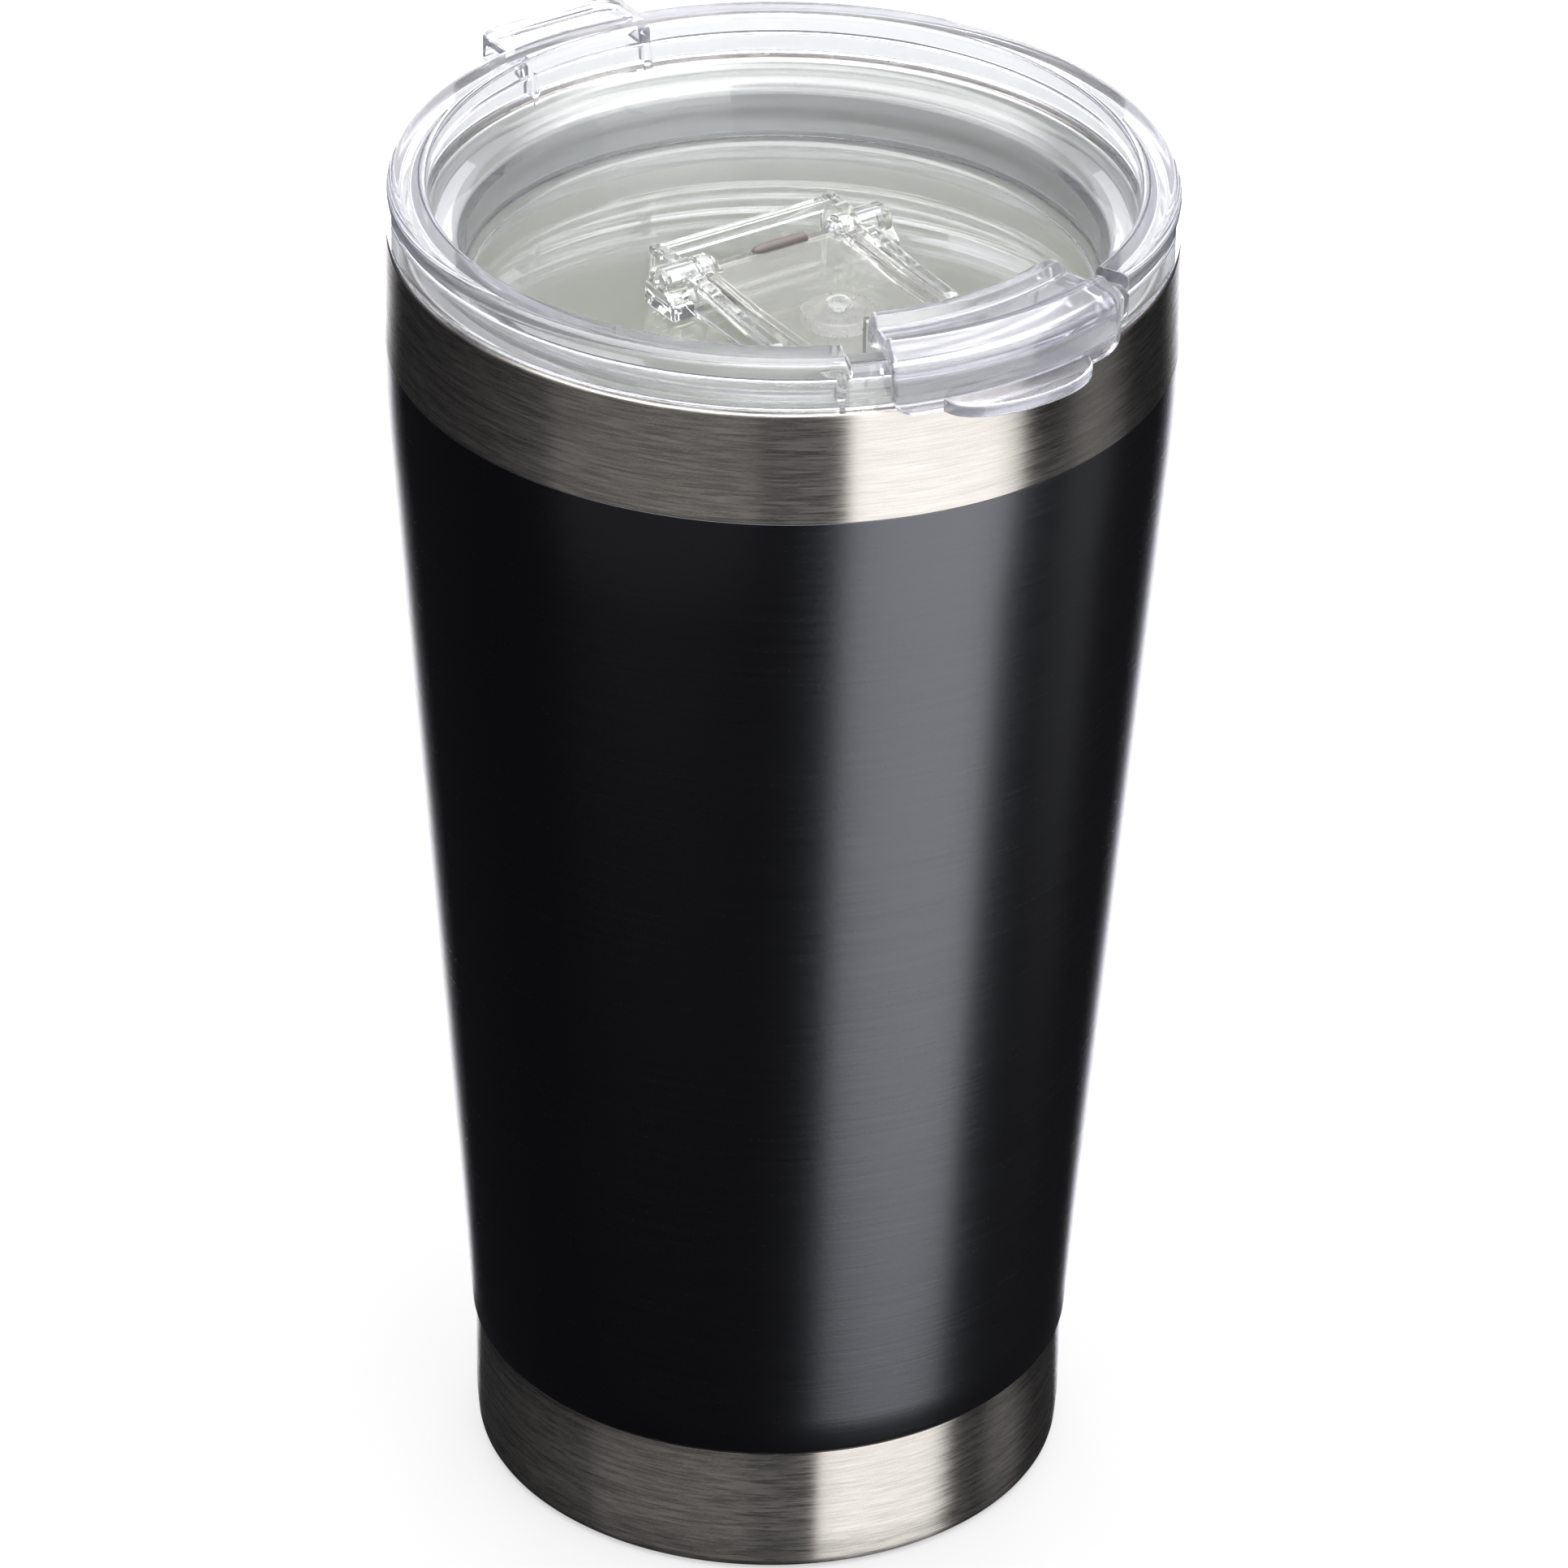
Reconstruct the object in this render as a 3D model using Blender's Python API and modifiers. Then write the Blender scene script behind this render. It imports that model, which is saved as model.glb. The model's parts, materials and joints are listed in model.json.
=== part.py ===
"""Insulated drinking tumbler with a press-in lid and a flip-up drinking flap.

A double-walled steel cup stands on the XY plane, centred on Z. The lid's flange rests on the
cup's lip. The flap turns on two pins near the lid's centre and hooks over the rim at -Y, and the
tab for lifting the lid is at +Y. All lengths are millimetres until a mesh is made, in metres.
"""

import math

import bmesh
import bpy
from mathutils import Matrix, Vector

MM = 0.001
GAP = 0.3  # space left between pieces that touch
SIDES = 64  # facets round each turned piece
SMALL_SIDES = 24  # facets round pins, eyes and studs

# Outer wall: a straight cone that bends upright under the bare top band
BODY_RADIUS = 44.0
LIP_RADIUS = 43.8
LIP_HEIGHT = 157.0
TAPER = 0.0765  # radius gained per millimetre of height
COAT_BOTTOM = 16.6
COAT_TOP = 143.8
BEND_START = 130.0
COAT_THICKNESS = 0.5
STEEL = 0.6  # thickness of the drawn sheet

# Base
BASE_RADIUS = 34.35
BASE_TOP = COAT_BOTTOM - GAP
NECK_RADIUS = BASE_RADIUS - STEEL - GAP - 0.05
PLATE_HEIGHT = 3.0

# Inner liner
MOUTH_RADIUS = 41.1
LINER_SHOULDER_RADIUS = 38.0
LINER_SHOULDER = 141.0
LINER_FLOOR = 11.0
LINER_CORNER = 6.0

# Lid
LID_TOP = 163.4
LID_BOTTOM = LIP_HEIGHT + GAP
RECESS_RADIUS = 39.6
PLUG_RADIUS = 37.0
FLOOR_RADIUS = 35.4
FLOOR_TOP = 149.2
FLOOR_BOTTOM = 147.2
CHANNEL_TOP = 160.6
NOTCH_FLOOR = 162.2
NOTCH_HALF_ANGLE = 24.5
TAB_REACH = 49.6
TAB_HALF_WIDTH = 9.3

# Hinge and flap
HINGE_Y = 2.4
HINGE_Z = 152.9
PIN_RADIUS = 1.0
PIN_HOLE_RADIUS = 1.35
EYE_RADIUS = 2.0
RAIL_INNER = 8.6
RAIL_OUTER = 10.1
CHEEK_INNER = 10.5
CHEEK_OUTER = 12.3
BLOCK_OUTER = 15.2
CHEEK_FRONT = -18.0
ARM_THICKNESS = 1.4
ARM_LOW_Z = 151.6  # middle of the plate where it lies level over the floor
ARM_BEND_Y = -9.0
ARM_FRONT_Y = -33.2
TONGUE_OUTER = 34.9
TONGUE_THICKNESS = 1.3
DRINK_HOLE_Y = -26.5
DRINK_HALF_WIDTH = 7.0
DRINK_HALF_DEPTH = 4.0
VENT_Y = -11.0
FLAP_HALF_ANGLE = 19.0
CLIP_TOP = 165.2
SKIRT_INNER = 44.5
SKIRT_OUTER = 45.95
SKIRT_BOTTOM = 157.2
THUMB_REACH = 49.6
THUMB_HALF_WIDTH = 8.8

FRONT = -90.0  # direction of the flap, in degrees from +X


def clear_scene():
    for obj in list(bpy.context.scene.objects):
        bpy.data.objects.remove(obj, do_unlink=True)


def new_collection(name):
    collection = bpy.data.collections.new(name)
    bpy.context.scene.collection.children.link(collection)
    return collection


def object_from(bm, name, collection):
    bmesh.ops.recalc_face_normals(bm, faces=bm.faces)
    mesh = bpy.data.meshes.new(name)
    bm.to_mesh(mesh)
    bm.free()
    obj = bpy.data.objects.new(name, mesh)
    collection.objects.link(obj)
    return obj


def arc(centre_r, centre_z, radius, start, end, steps):
    """Points of an arc in the (radius, height) plane, between two angles in degrees."""
    points = []
    for i in range(steps + 1):
        angle = math.radians(start + (end - start) * i / steps)
        points.append((centre_r + radius * math.cos(angle), centre_z + radius * math.sin(angle)))
    return points


def turned(name, profile, collection, closed=True, sides=SIDES):
    """A solid of revolution about Z. The profile runs down its outer side, and back up if closed."""
    mesh = bpy.data.meshes.new(name)
    edges = [(i, i + 1) for i in range(len(profile) - 1)]
    if closed:
        edges.append((len(profile) - 1, 0))
    mesh.from_pydata([(r * MM, 0.0, z * MM) for r, z in profile], edges, [])
    obj = bpy.data.objects.new(name, mesh)
    collection.objects.link(obj)
    screw = obj.modifiers.new("turn", "SCREW")
    screw.steps = sides
    screw.render_steps = sides
    screw.use_merge_vertices = True
    screw.merge_threshold = 0.000001
    return obj


def sector(name, outline, half_angle, steps, collection, middle=FRONT):
    """A closed (radius, height) outline swept about Z, half_angle to each side of middle."""
    bm = bmesh.new()
    start = math.radians(middle - half_angle)
    corners = [
        bm.verts.new((r * math.cos(start) * MM, r * math.sin(start) * MM, z * MM)) for r, z in outline
    ]
    face = bm.faces.new(corners)
    bmesh.ops.spin(
        bm,
        geom=[face, *face.edges, *corners],
        cent=(0, 0, 0),
        axis=(0, 0, 1),
        angle=math.radians(2 * half_angle),
        steps=steps,
        use_duplicate=False,
    )
    return object_from(bm, name, collection)


def box(name, low, high, collection, corner=0.0, along="Z", corner_steps=4):
    """A block between two corners. The edges that run along the named axis are rounded."""
    bm = bmesh.new()
    bmesh.ops.create_cube(bm, size=1.0)
    size = [(b - a) * MM for a, b in zip(low, high)]
    middle = Vector([(a + b) / 2 * MM for a, b in zip(low, high)])
    bmesh.ops.transform(bm, matrix=Matrix.Translation(middle) @ Matrix.Diagonal((*size, 1.0)), verts=bm.verts)
    if corner:
        index = "XYZ".index(along)
        edges = [e for e in bm.edges if abs((e.verts[0].co - e.verts[1].co)[index]) > size[index] / 2]
        bmesh.ops.bevel(
            bm, geom=edges, offset=corner * MM, segments=corner_steps, affect="EDGES", profile=0.5
        )
    return object_from(bm, name, collection)


def rod(name, radius, low, high, collection, along="Z", at=(0.0, 0.0), sides=SMALL_SIDES):
    """A round rod along X or Z, from low to high on that axis. at holds its other two coordinates."""
    bm = bmesh.new()
    bmesh.ops.create_cone(
        bm,
        cap_ends=True,
        segments=sides,
        radius1=radius * MM,
        radius2=radius * MM,
        depth=(high - low) * MM,
    )
    middle = (low + high) / 2
    if along == "X":
        turn = Matrix.Rotation(math.pi / 2, 4, "Y")
        place = Vector((middle, *at)) * MM
    else:
        turn = Matrix.Identity(4)
        place = Vector((*at, middle)) * MM
    bmesh.ops.transform(bm, matrix=Matrix.Translation(place) @ turn, verts=bm.verts)
    return object_from(bm, name, collection)


def side_prism(name, outline, low_x, high_x, collection):
    """A closed (y, z) outline drawn in the YZ plane and given width along X."""
    bm = bmesh.new()
    face = bm.faces.new([bm.verts.new((low_x * MM, y * MM, z * MM)) for y, z in outline])
    grown = bmesh.ops.extrude_face_region(bm, geom=[face])
    moved = [v for v in grown["geom"] if isinstance(v, bmesh.types.BMVert)]
    bmesh.ops.translate(bm, verts=moved, vec=((high_x - low_x) * MM, 0, 0))
    return object_from(bm, name, collection)


def combine(obj, tool, operation):
    """Joins, cuts or keeps the overlap with a tool, which stays in the scene as a wire helper."""
    tool.hide_render = True
    tool.display_type = "WIRE"
    boolean = obj.modifiers.new(tool.name, "BOOLEAN")
    boolean.operation = operation
    boolean.object = tool


def finish(obj, colour, roughness, metallic=0.0, clear=0.0):
    """Gives a piece its own material, and smooth shading that keeps the edges."""
    material = bpy.data.materials.new(obj.name)
    material.use_nodes = True
    shader = material.node_tree.nodes["Principled BSDF"]
    shader.inputs["Base Color"].default_value = (*colour, 1.0)
    shader.inputs["Roughness"].default_value = roughness
    shader.inputs["Metallic"].default_value = metallic
    shader.inputs["Transmission Weight"].default_value = clear
    obj.data.materials.append(material)
    if obj.data.polygons:
        obj.data.shade_smooth()
        obj.data.set_sharp_from_angle(angle=math.radians(35))
    return obj


def coat_radius(height):
    """Outer radius of the coated wall at a height."""
    bend = COAT_TOP - BEND_START
    foot = BODY_RADIUS - TAPER * (BEND_START - COAT_BOTTOM) - TAPER * bend / 2
    straight = foot + TAPER * (min(height, BEND_START) - COAT_BOTTOM)
    past = max(0.0, height - BEND_START)
    return straight + TAPER * past - TAPER * past * past / (2 * bend)


def wall_line(heights, inset):
    return [(coat_radius(z) - inset, z) for z in heights]


BEND_HEIGHTS = [COAT_TOP, 139.2, 134.6, BEND_START]


def make_black_coating(parts):
    edge = 0.4
    outer = wall_line([*BEND_HEIGHTS, COAT_BOTTOM + edge], 0.0)
    lower = wall_line([COAT_BOTTOM], edge)
    inner = wall_line([COAT_BOTTOM, *reversed(BEND_HEIGHTS)], COAT_THICKNESS)
    coat = turned("black_coating", outer + lower + inner, parts)
    return finish(coat, (0.008, 0.008, 0.01), 0.35)


def make_outer_shell(parts):
    under_coat = COAT_THICKNESS + GAP
    swage_top = COAT_BOTTOM + 0.9
    inside = under_coat + STEEL
    lip = arc(LIP_RADIUS - 1.4, LIP_HEIGHT - 1.4, 1.4, 90, 0, 3)
    band = [(BODY_RADIUS, COAT_TOP + GAP), (coat_radius(COAT_TOP) - under_coat, COAT_TOP + GAP)]
    outer = wall_line([*BEND_HEIGHTS[1:], swage_top], under_coat)
    neck = [(NECK_RADIUS, COAT_BOTTOM), (NECK_RADIUS, 2.2)]
    neck_inside = [(NECK_RADIUS - STEEL, 2.2), (NECK_RADIUS - STEEL, COAT_BOTTOM + 0.2)]
    inner = wall_line([swage_top + 0.2, *reversed(BEND_HEIGHTS)], inside)
    top = [(LIP_RADIUS - 1.4, LIP_HEIGHT - 1.6)]
    shell = turned("outer_shell", lip + band + outer + neck + neck_inside + inner + top, parts)
    return finish(shell, (0.62, 0.6, 0.57), 0.3, metallic=1.0)


def liner_side(inset):
    """The liner's wall from the mouth down to its bottom corner, inset from its drinking side."""
    cone_foot = LINER_SHOULDER_RADIUS - TAPER * (LINER_SHOULDER - LINER_FLOOR - LINER_CORNER)
    mouth = [(40.9, 155.0), (40.2, 151.0), (38.7, 144.0), (LINER_SHOULDER_RADIUS, LINER_SHOULDER)]
    wall = [(r + inset, z) for r, z in mouth]
    corner = arc(cone_foot - LINER_CORNER, LINER_FLOOR + LINER_CORNER, LINER_CORNER + inset, 0, -90, 4)
    return wall + corner


def make_inner_liner(parts):
    lip = [(MOUTH_RADIUS + STEEL / 2, LIP_HEIGHT), (LIP_RADIUS - 1.4 - GAP, LIP_HEIGHT - 0.3)]
    outer = liner_side(STEEL)
    inner = liner_side(0.0)
    bottom = [(0.0, LINER_FLOOR - STEEL)]
    top = [(0.0, LINER_FLOOR)]
    mouth = [(MOUTH_RADIUS, LIP_HEIGHT - 0.4)]
    profile = top + list(reversed(inner)) + mouth + lip + outer + bottom
    liner = turned("inner_liner", profile, parts, closed=False)
    return finish(liner, (0.62, 0.6, 0.57), 0.35, metallic=1.0)


def make_bottom_plate(parts):
    rim = NECK_RADIUS - STEEL - GAP
    z = PLATE_HEIGHT
    top = [(2.0, z + 2.0), (5.0, z + 2.0), (7.0, z + STEEL), (rim - STEEL, z + STEEL)]
    flange = [(rim - STEEL, z + 4.0), (rim, z + 4.0), (rim, z)]
    under = [(7.4, z), (5.4, z + 1.2), (2.0, z + 1.2)]
    plate = turned("bottom_plate", top + flange + under, parts)
    return finish(plate, (0.5, 0.5, 0.5), 0.4, metallic=1.0)


def make_vacuum_seal(parts):
    z = PLATE_HEIGHT + 1.2 - GAP
    profile = [(0.0, z), (4.2, z), (4.0, z - 0.6), (2.0, z - 0.9), (0.0, z - 0.9)]
    bead = turned("vacuum_seal", profile, parts, closed=False, sides=SMALL_SIDES)
    return finish(bead, (0.25, 0.24, 0.2), 0.2)


def make_getter_pellet(parts):
    z = PLATE_HEIGHT + STEEL + GAP
    pellet = rod("getter_pellet", 3.5, z, z + 1.8, parts, at=(15.0, 0.0))
    return finish(pellet, (0.2, 0.2, 0.21), 0.6, metallic=0.5)


def make_base_cup(parts):
    edge = 1.0
    outer = [(BASE_RADIUS - 0.25, BASE_TOP), (BASE_RADIUS, BASE_TOP - 0.25)]
    corner = arc(BASE_RADIUS - edge, edge, edge, 0, -90, 3)
    under = [(27.5, 0.0), (26.0, 0.9), (0.0, 0.9)]
    over = [(0.0, 0.9 + STEEL), (26.3, 0.9 + STEEL), (27.8, STEEL), (BASE_RADIUS - STEEL - 0.4, STEEL)]
    inside = [(BASE_RADIUS - STEEL, 1.3), (BASE_RADIUS - STEEL, BASE_TOP)]
    profile = list(over) + inside + outer + corner + under
    cup = turned("base_cup", profile, parts, closed=False)
    return finish(cup, (0.62, 0.6, 0.57), 0.28, metallic=1.0)


def lid_profile():
    """From the middle of the floor up the recess, over the flange and back under the floor."""
    recess = [
        (0.0, FLOOR_TOP),
        (FLOOR_RADIUS - 0.7, FLOOR_TOP),
        (FLOOR_RADIUS, FLOOR_TOP + 0.7),
        (FLOOR_RADIUS, 154.1),
        (36.2, 156.5),
        (38.9, 157.6),
        (RECESS_RADIUS, LID_TOP),
    ]
    flange = arc(LIP_RADIUS - 1.3, LID_TOP - 1.3, 1.3, 90, 0, 3) + [(LIP_RADIUS, LID_BOTTOM)]
    channel = [(42.4, LID_BOTTOM), (42.4, CHANNEL_TOP), (41.0, CHANNEL_TOP), (40.4, LIP_HEIGHT)]
    plug = [(PLUG_RADIUS, 155.2), (PLUG_RADIUS, 149.6), (PLUG_RADIUS + 0.7, 149.2)]
    bottom = [(PLUG_RADIUS + 0.7, 148.3), (PLUG_RADIUS - 0.4, FLOOR_BOTTOM), (0.0, FLOOR_BOTTOM)]
    return recess + flange + channel + plug + bottom


def make_lid_body(parts, tools):
    lid = turned("lid_body", lid_profile(), parts, closed=False)
    tab_low = (-TAB_HALF_WIDTH, 42.6, 159.7)
    tab_high = (TAB_HALF_WIDTH, TAB_REACH, 162.8)
    tab = box("lift_tab", tab_low, tab_high, tools, corner=2.6)
    wall = 1.4
    hollow_low = (-TAB_HALF_WIDTH + wall, 44.3, 158.0)
    hollow_high = (TAB_HALF_WIDTH - wall, TAB_REACH - wall, 161.4)
    combine(tab, box("tab_hollow", hollow_low, hollow_high, tools, corner=1.2), "DIFFERENCE")
    inside = rod("tab_inside", 43.2, 150.0, 170.0, tools, sides=SIDES)
    combine(tab, inside, "DIFFERENCE")
    combine(lid, tab, "UNION")
    notch_outline = [(38.0, NOTCH_FLOOR), (46.0, NOTCH_FLOOR), (46.0, 170.0), (38.0, 170.0)]
    notch = sector("rim_notch", notch_outline, NOTCH_HALF_ANGLE, 12, tools)
    combine(lid, notch, "DIFFERENCE")
    drink_low = (-DRINK_HALF_WIDTH, DRINK_HOLE_Y - DRINK_HALF_DEPTH, FLOOR_BOTTOM - 3)
    drink_high = (DRINK_HALF_WIDTH, DRINK_HOLE_Y + DRINK_HALF_DEPTH, FLOOR_TOP + 3)
    drink = box("drink_hole", drink_low, drink_high, tools, corner=DRINK_HALF_DEPTH - 0.1)
    combine(lid, drink, "DIFFERENCE")
    vent = rod("vent_hole", 1.5, FLOOR_BOTTOM - 3, FLOOR_TOP + 3, tools, at=(0.0, VENT_Y))
    combine(lid, vent, "DIFFERENCE")
    return finish(lid, (0.93, 0.95, 0.94), 0.05, clear=0.9)


def make_lid_gasket(parts):
    root = PLUG_RADIUS + GAP
    back = [(root, 154.6), (root + 1.0, 154.8)]
    upper_fin = [(40.2, 154.2), (40.3, 153.7), (38.9, 153.0)]
    lower_fin = [(39.7, 151.6), (39.8, 151.1), (root + 1.1, 150.3), (root, 149.9)]
    gasket = turned("lid_gasket", back + upper_fin + lower_fin, parts)
    return finish(gasket, (0.75, 0.76, 0.76), 0.5, clear=0.3)


def make_hinge_frame(parts, tools):
    """A U of two cheeks and a crossbar, standing on the lid floor, with a bearing block on each side."""
    back = 8.5
    floor = FLOOR_TOP + GAP
    low = (-CHEEK_INNER - 0.6, back - 1.3, 152.7)
    high = (CHEEK_INNER + 0.6, back - 0.1, 154.1)
    frame = box("hinge_frame", low, high, parts, corner=0.3, along="X", corner_steps=2)
    cheek = [
        (CHEEK_FRONT, floor),
        (back, floor),
        (back, 154.3),
        (HINGE_Y + 2.0, 154.2),
        (HINGE_Y - 2.0, 153.9),
        (-9.0, 152.9),
        (CHEEK_FRONT + 2.0, 152.7),
        (CHEEK_FRONT, 151.2),
    ]
    for side, label in ((-1, "left"), (1, "right")):
        near, far = sorted((side * CHEEK_INNER, side * CHEEK_OUTER))
        combine(frame, side_prism(f"cheek_{label}", cheek, near, far, tools), "UNION")
        block_near, block_far = sorted((side * (CHEEK_OUTER - 0.3), side * BLOCK_OUTER))
        block_low = (block_near, HINGE_Y - 3.6, floor + 0.05)
        block_high = (block_far, HINGE_Y + 2.6, HINGE_Z - 0.3)
        block = box(f"block_{label}", block_low, block_high, tools, corner=0.6, corner_steps=2)
        combine(frame, block, "UNION")
        eye_near, eye_far = sorted((side * (CHEEK_INNER + 0.05), side * (BLOCK_OUTER - 0.2)))
        eye = rod(f"eye_{label}", EYE_RADIUS, eye_near, eye_far, tools, "X", (HINGE_Y, HINGE_Z))
        combine(frame, eye, "UNION")
        hole_near, hole_far = sorted((side * (CHEEK_INNER - 2), side * (BLOCK_OUTER - 1.0)))
        hole = rod(f"eye_hole_{label}", PIN_HOLE_RADIUS, hole_near, hole_far, tools, "X", (HINGE_Y, HINGE_Z))
        combine(frame, hole, "DIFFERENCE")
    return finish(frame, (0.93, 0.95, 0.94), 0.08, clear=0.9)


def make_hinge_pins(parts, tools):
    """Short pins from inside the flap's rails to the blind holes of the bearing blocks."""
    at = (HINGE_Y, HINGE_Z)
    for side, label in ((-1, "left"), (1, "right")):
        shank = sorted((side * (RAIL_INNER - 0.4), side * (BLOCK_OUTER - 1.0 - GAP)))
        head = sorted((side * (RAIL_INNER - 0.9), side * (RAIL_INNER - GAP)))
        pin = rod(f"hinge_pin_{label}", PIN_RADIUS, *shank, parts, "X", at)
        combine(pin, rod(f"pin_head_{label}", 1.5, *head, tools, "X", at), "UNION")
        finish(pin, (0.9, 0.92, 0.92), 0.1, clear=0.8)


def arm_outline(above_hinge, above_level, below):
    """Side outline of a strip that slopes down from the hinge, then lies level up to the rim."""
    upper = [
        (HINGE_Y, HINGE_Z + above_hinge),
        (ARM_BEND_Y, ARM_LOW_Z + above_level),
        (ARM_FRONT_Y, ARM_LOW_Z + above_level),
    ]
    lower = [(ARM_FRONT_Y, ARM_LOW_Z - below), (ARM_BEND_Y, ARM_LOW_Z - below), (HINGE_Y, HINGE_Z - below)]
    return upper + lower


def make_flap_arm(parts, tools):
    half = ARM_THICKNESS / 2
    plate = arm_outline(half, half, half)
    arm = side_prism("flap_arm", plate, -RAIL_INNER - 0.4, RAIL_INNER + 0.4, parts)
    for side, label in ((-1, "left"), (1, "right")):
        near, far = sorted((side * RAIL_INNER, side * RAIL_OUTER))
        rail = side_prism(f"rail_{label}", arm_outline(0.8, 1.5, 1.1), near, far, tools)
        combine(arm, rail, "UNION")
        eye_near, eye_far = sorted((side * (RAIL_INNER - 0.05), side * (RAIL_OUTER + 0.05)))
        eye = rod(f"rail_eye_{label}", EYE_RADIUS - 0.1, eye_near, eye_far, tools, "X", (HINGE_Y, HINGE_Z))
        combine(arm, eye, "UNION")
    tongue_outline = [
        (TONGUE_OUTER - TONGUE_THICKNESS, 150.6),
        (TONGUE_OUTER, 150.6),
        (TONGUE_OUTER, 163.2),
        (TONGUE_OUTER - TONGUE_THICKNESS, 163.2),
    ]
    tongue = sector("tongue", tongue_outline, FLAP_HALF_ANGLE, 10, tools)
    combine(arm, tongue, "UNION")
    rib = rod("gate_rib", 0.75, -3.2, 3.2, tools, "X", (HINGE_Y - 0.2, HINGE_Z + 0.4), sides=12)
    combine(arm, rib, "UNION")
    for side, label in ((-1, "left"), (1, "right")):
        hole_near, hole_far = sorted((side * (RAIL_INNER - 1.2), side * (RAIL_OUTER + 2)))
        hole = rod(f"rail_hole_{label}", PIN_HOLE_RADIUS, hole_near, hole_far, tools, "X", (HINGE_Y, HINGE_Z))
        combine(arm, hole, "DIFFERENCE")
        relief_near, relief_far = sorted((side * (RAIL_INNER - 1.2), side * RAIL_INNER))
        relief = rod(f"head_relief_{label}", 1.5 + GAP, relief_near, relief_far, tools, "X",
                     (HINGE_Y, HINGE_Z))
        combine(arm, relief, "DIFFERENCE")
    for label, y in (("vent", VENT_Y), ("drink", DRINK_HOLE_Y)):
        stud_hole = rod(f"{label}_stud_hole", 1.3, 149.0, 156.0, tools, at=(0.0, y))
        combine(arm, stud_hole, "DIFFERENCE")
    return finish(arm, (0.92, 0.93, 0.9), 0.12, clear=0.8)


def clip_outline():
    """Cross-section of the hook: inner leg, grooved top, and skirt outside the flange."""
    leg_inner = TONGUE_OUTER + GAP
    return [
        (leg_inner, 160.6),
        (leg_inner + 1.3, 160.6),
        (leg_inner + 1.3, 162.5),
        (SKIRT_INNER - 0.7, 162.5),
        (SKIRT_INNER, 161.6),
        (SKIRT_INNER, SKIRT_BOTTOM),
        (SKIRT_OUTER, SKIRT_BOTTOM),
        (SKIRT_OUTER - 0.2, 162.6),
        (SKIRT_OUTER - 1.3, 164.2),
        (43.0, CLIP_TOP),
        (41.9, 164.3),
        (38.0, 164.2),
        (37.0, CLIP_TOP - 0.2),
        (leg_inner + 0.5, 164.5),
        (leg_inner, 163.8),
    ]


def make_flap_clip(parts, tools):
    clip = sector("flap_clip", clip_outline(), FLAP_HALF_ANGLE, 14, parts)
    face_low = (-SKIRT_OUTER * math.sin(math.radians(FLAP_HALF_ANGLE)) + 0.05, -60.0, SKIRT_BOTTOM - 0.05)
    face_high = (-face_low[0], -20.0, 170.0)
    combine(clip, box("clip_face", face_low, face_high, tools, corner=2.6, along="Y"), "INTERSECT")
    thumb = rod("thumb_tab", THUMB_HALF_WIDTH, SKIRT_BOTTOM - 0.1, SKIRT_BOTTOM + 1.3, tools, sides=32)
    squeeze = (THUMB_REACH - SKIRT_INNER) / THUMB_HALF_WIDTH
    flat = Matrix.Diagonal((1.0, squeeze, 1.0, 1.0))
    thumb.data.transform(Matrix.Translation((0, -SKIRT_INNER * MM, 0)) @ flat)
    combine(thumb, rod("thumb_inside", SKIRT_INNER + 0.2, 150.0, 170.0, tools, sides=SIDES), "DIFFERENCE")
    combine(clip, thumb, "UNION")
    return finish(clip, (0.9, 0.91, 0.93), 0.3, clear=0.5)


def make_drink_seal(parts, tools):
    bottom = FLOOR_TOP + GAP
    under_arm = ARM_LOW_Z - ARM_THICKNESS / 2 - GAP
    margin = 1.2
    half_depth = DRINK_HALF_DEPTH + margin
    low = (-DRINK_HALF_WIDTH - margin, DRINK_HOLE_Y - half_depth, bottom)
    high = (DRINK_HALF_WIDTH + margin, DRINK_HOLE_Y + half_depth, under_arm)
    seal = box("drink_seal", low, high, parts, corner=half_depth - 0.1, corner_steps=6)
    combine(seal, stud("drink_stud", DRINK_HOLE_Y, ARM_LOW_Z + ARM_THICKNESS / 2, tools), "UNION")
    return finish(seal, (0.85, 0.86, 0.84), 0.6, clear=0.2)


def stud(name, y, plate_top, collection):
    """A push-through button: a thin neck in the plate's hole and a head above it."""
    head = plate_top + GAP
    profile = [
        (0.0, head + 0.6),
        (1.3, head + 0.5),
        (1.6, head + 0.2),
        (1.6, head),
        (0.9, head),
        (0.9, FLOOR_TOP + GAP + 0.2),
        (0.0, FLOOR_TOP + GAP + 0.2),
    ]
    obj = turned(name, profile, collection, closed=False, sides=SMALL_SIDES)
    obj.location = (0.0, y * MM, 0.0)
    return obj


def make_vent_plug(parts, tools):
    bottom = FLOOR_TOP + GAP
    under_arm = ARM_LOW_Z - ARM_THICKNESS / 2 - GAP
    plug = rod("vent_plug", 4.2, bottom, under_arm, parts, at=(0.0, VENT_Y))
    combine(plug, stud("vent_stud", VENT_Y, ARM_LOW_Z + ARM_THICKNESS / 2, tools), "UNION")
    return finish(plug, (0.85, 0.86, 0.84), 0.6, clear=0.2)


def set_origin(names, origin):
    """Moves the origin of moving pieces onto their joint's axis, leaving their shape in place."""
    for name in names:
        obj = bpy.data.objects[name]
        offset = Vector(origin) * MM - obj.location
        obj.data.transform(Matrix.Translation(-offset))
        obj.location = Vector(origin) * MM


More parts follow.
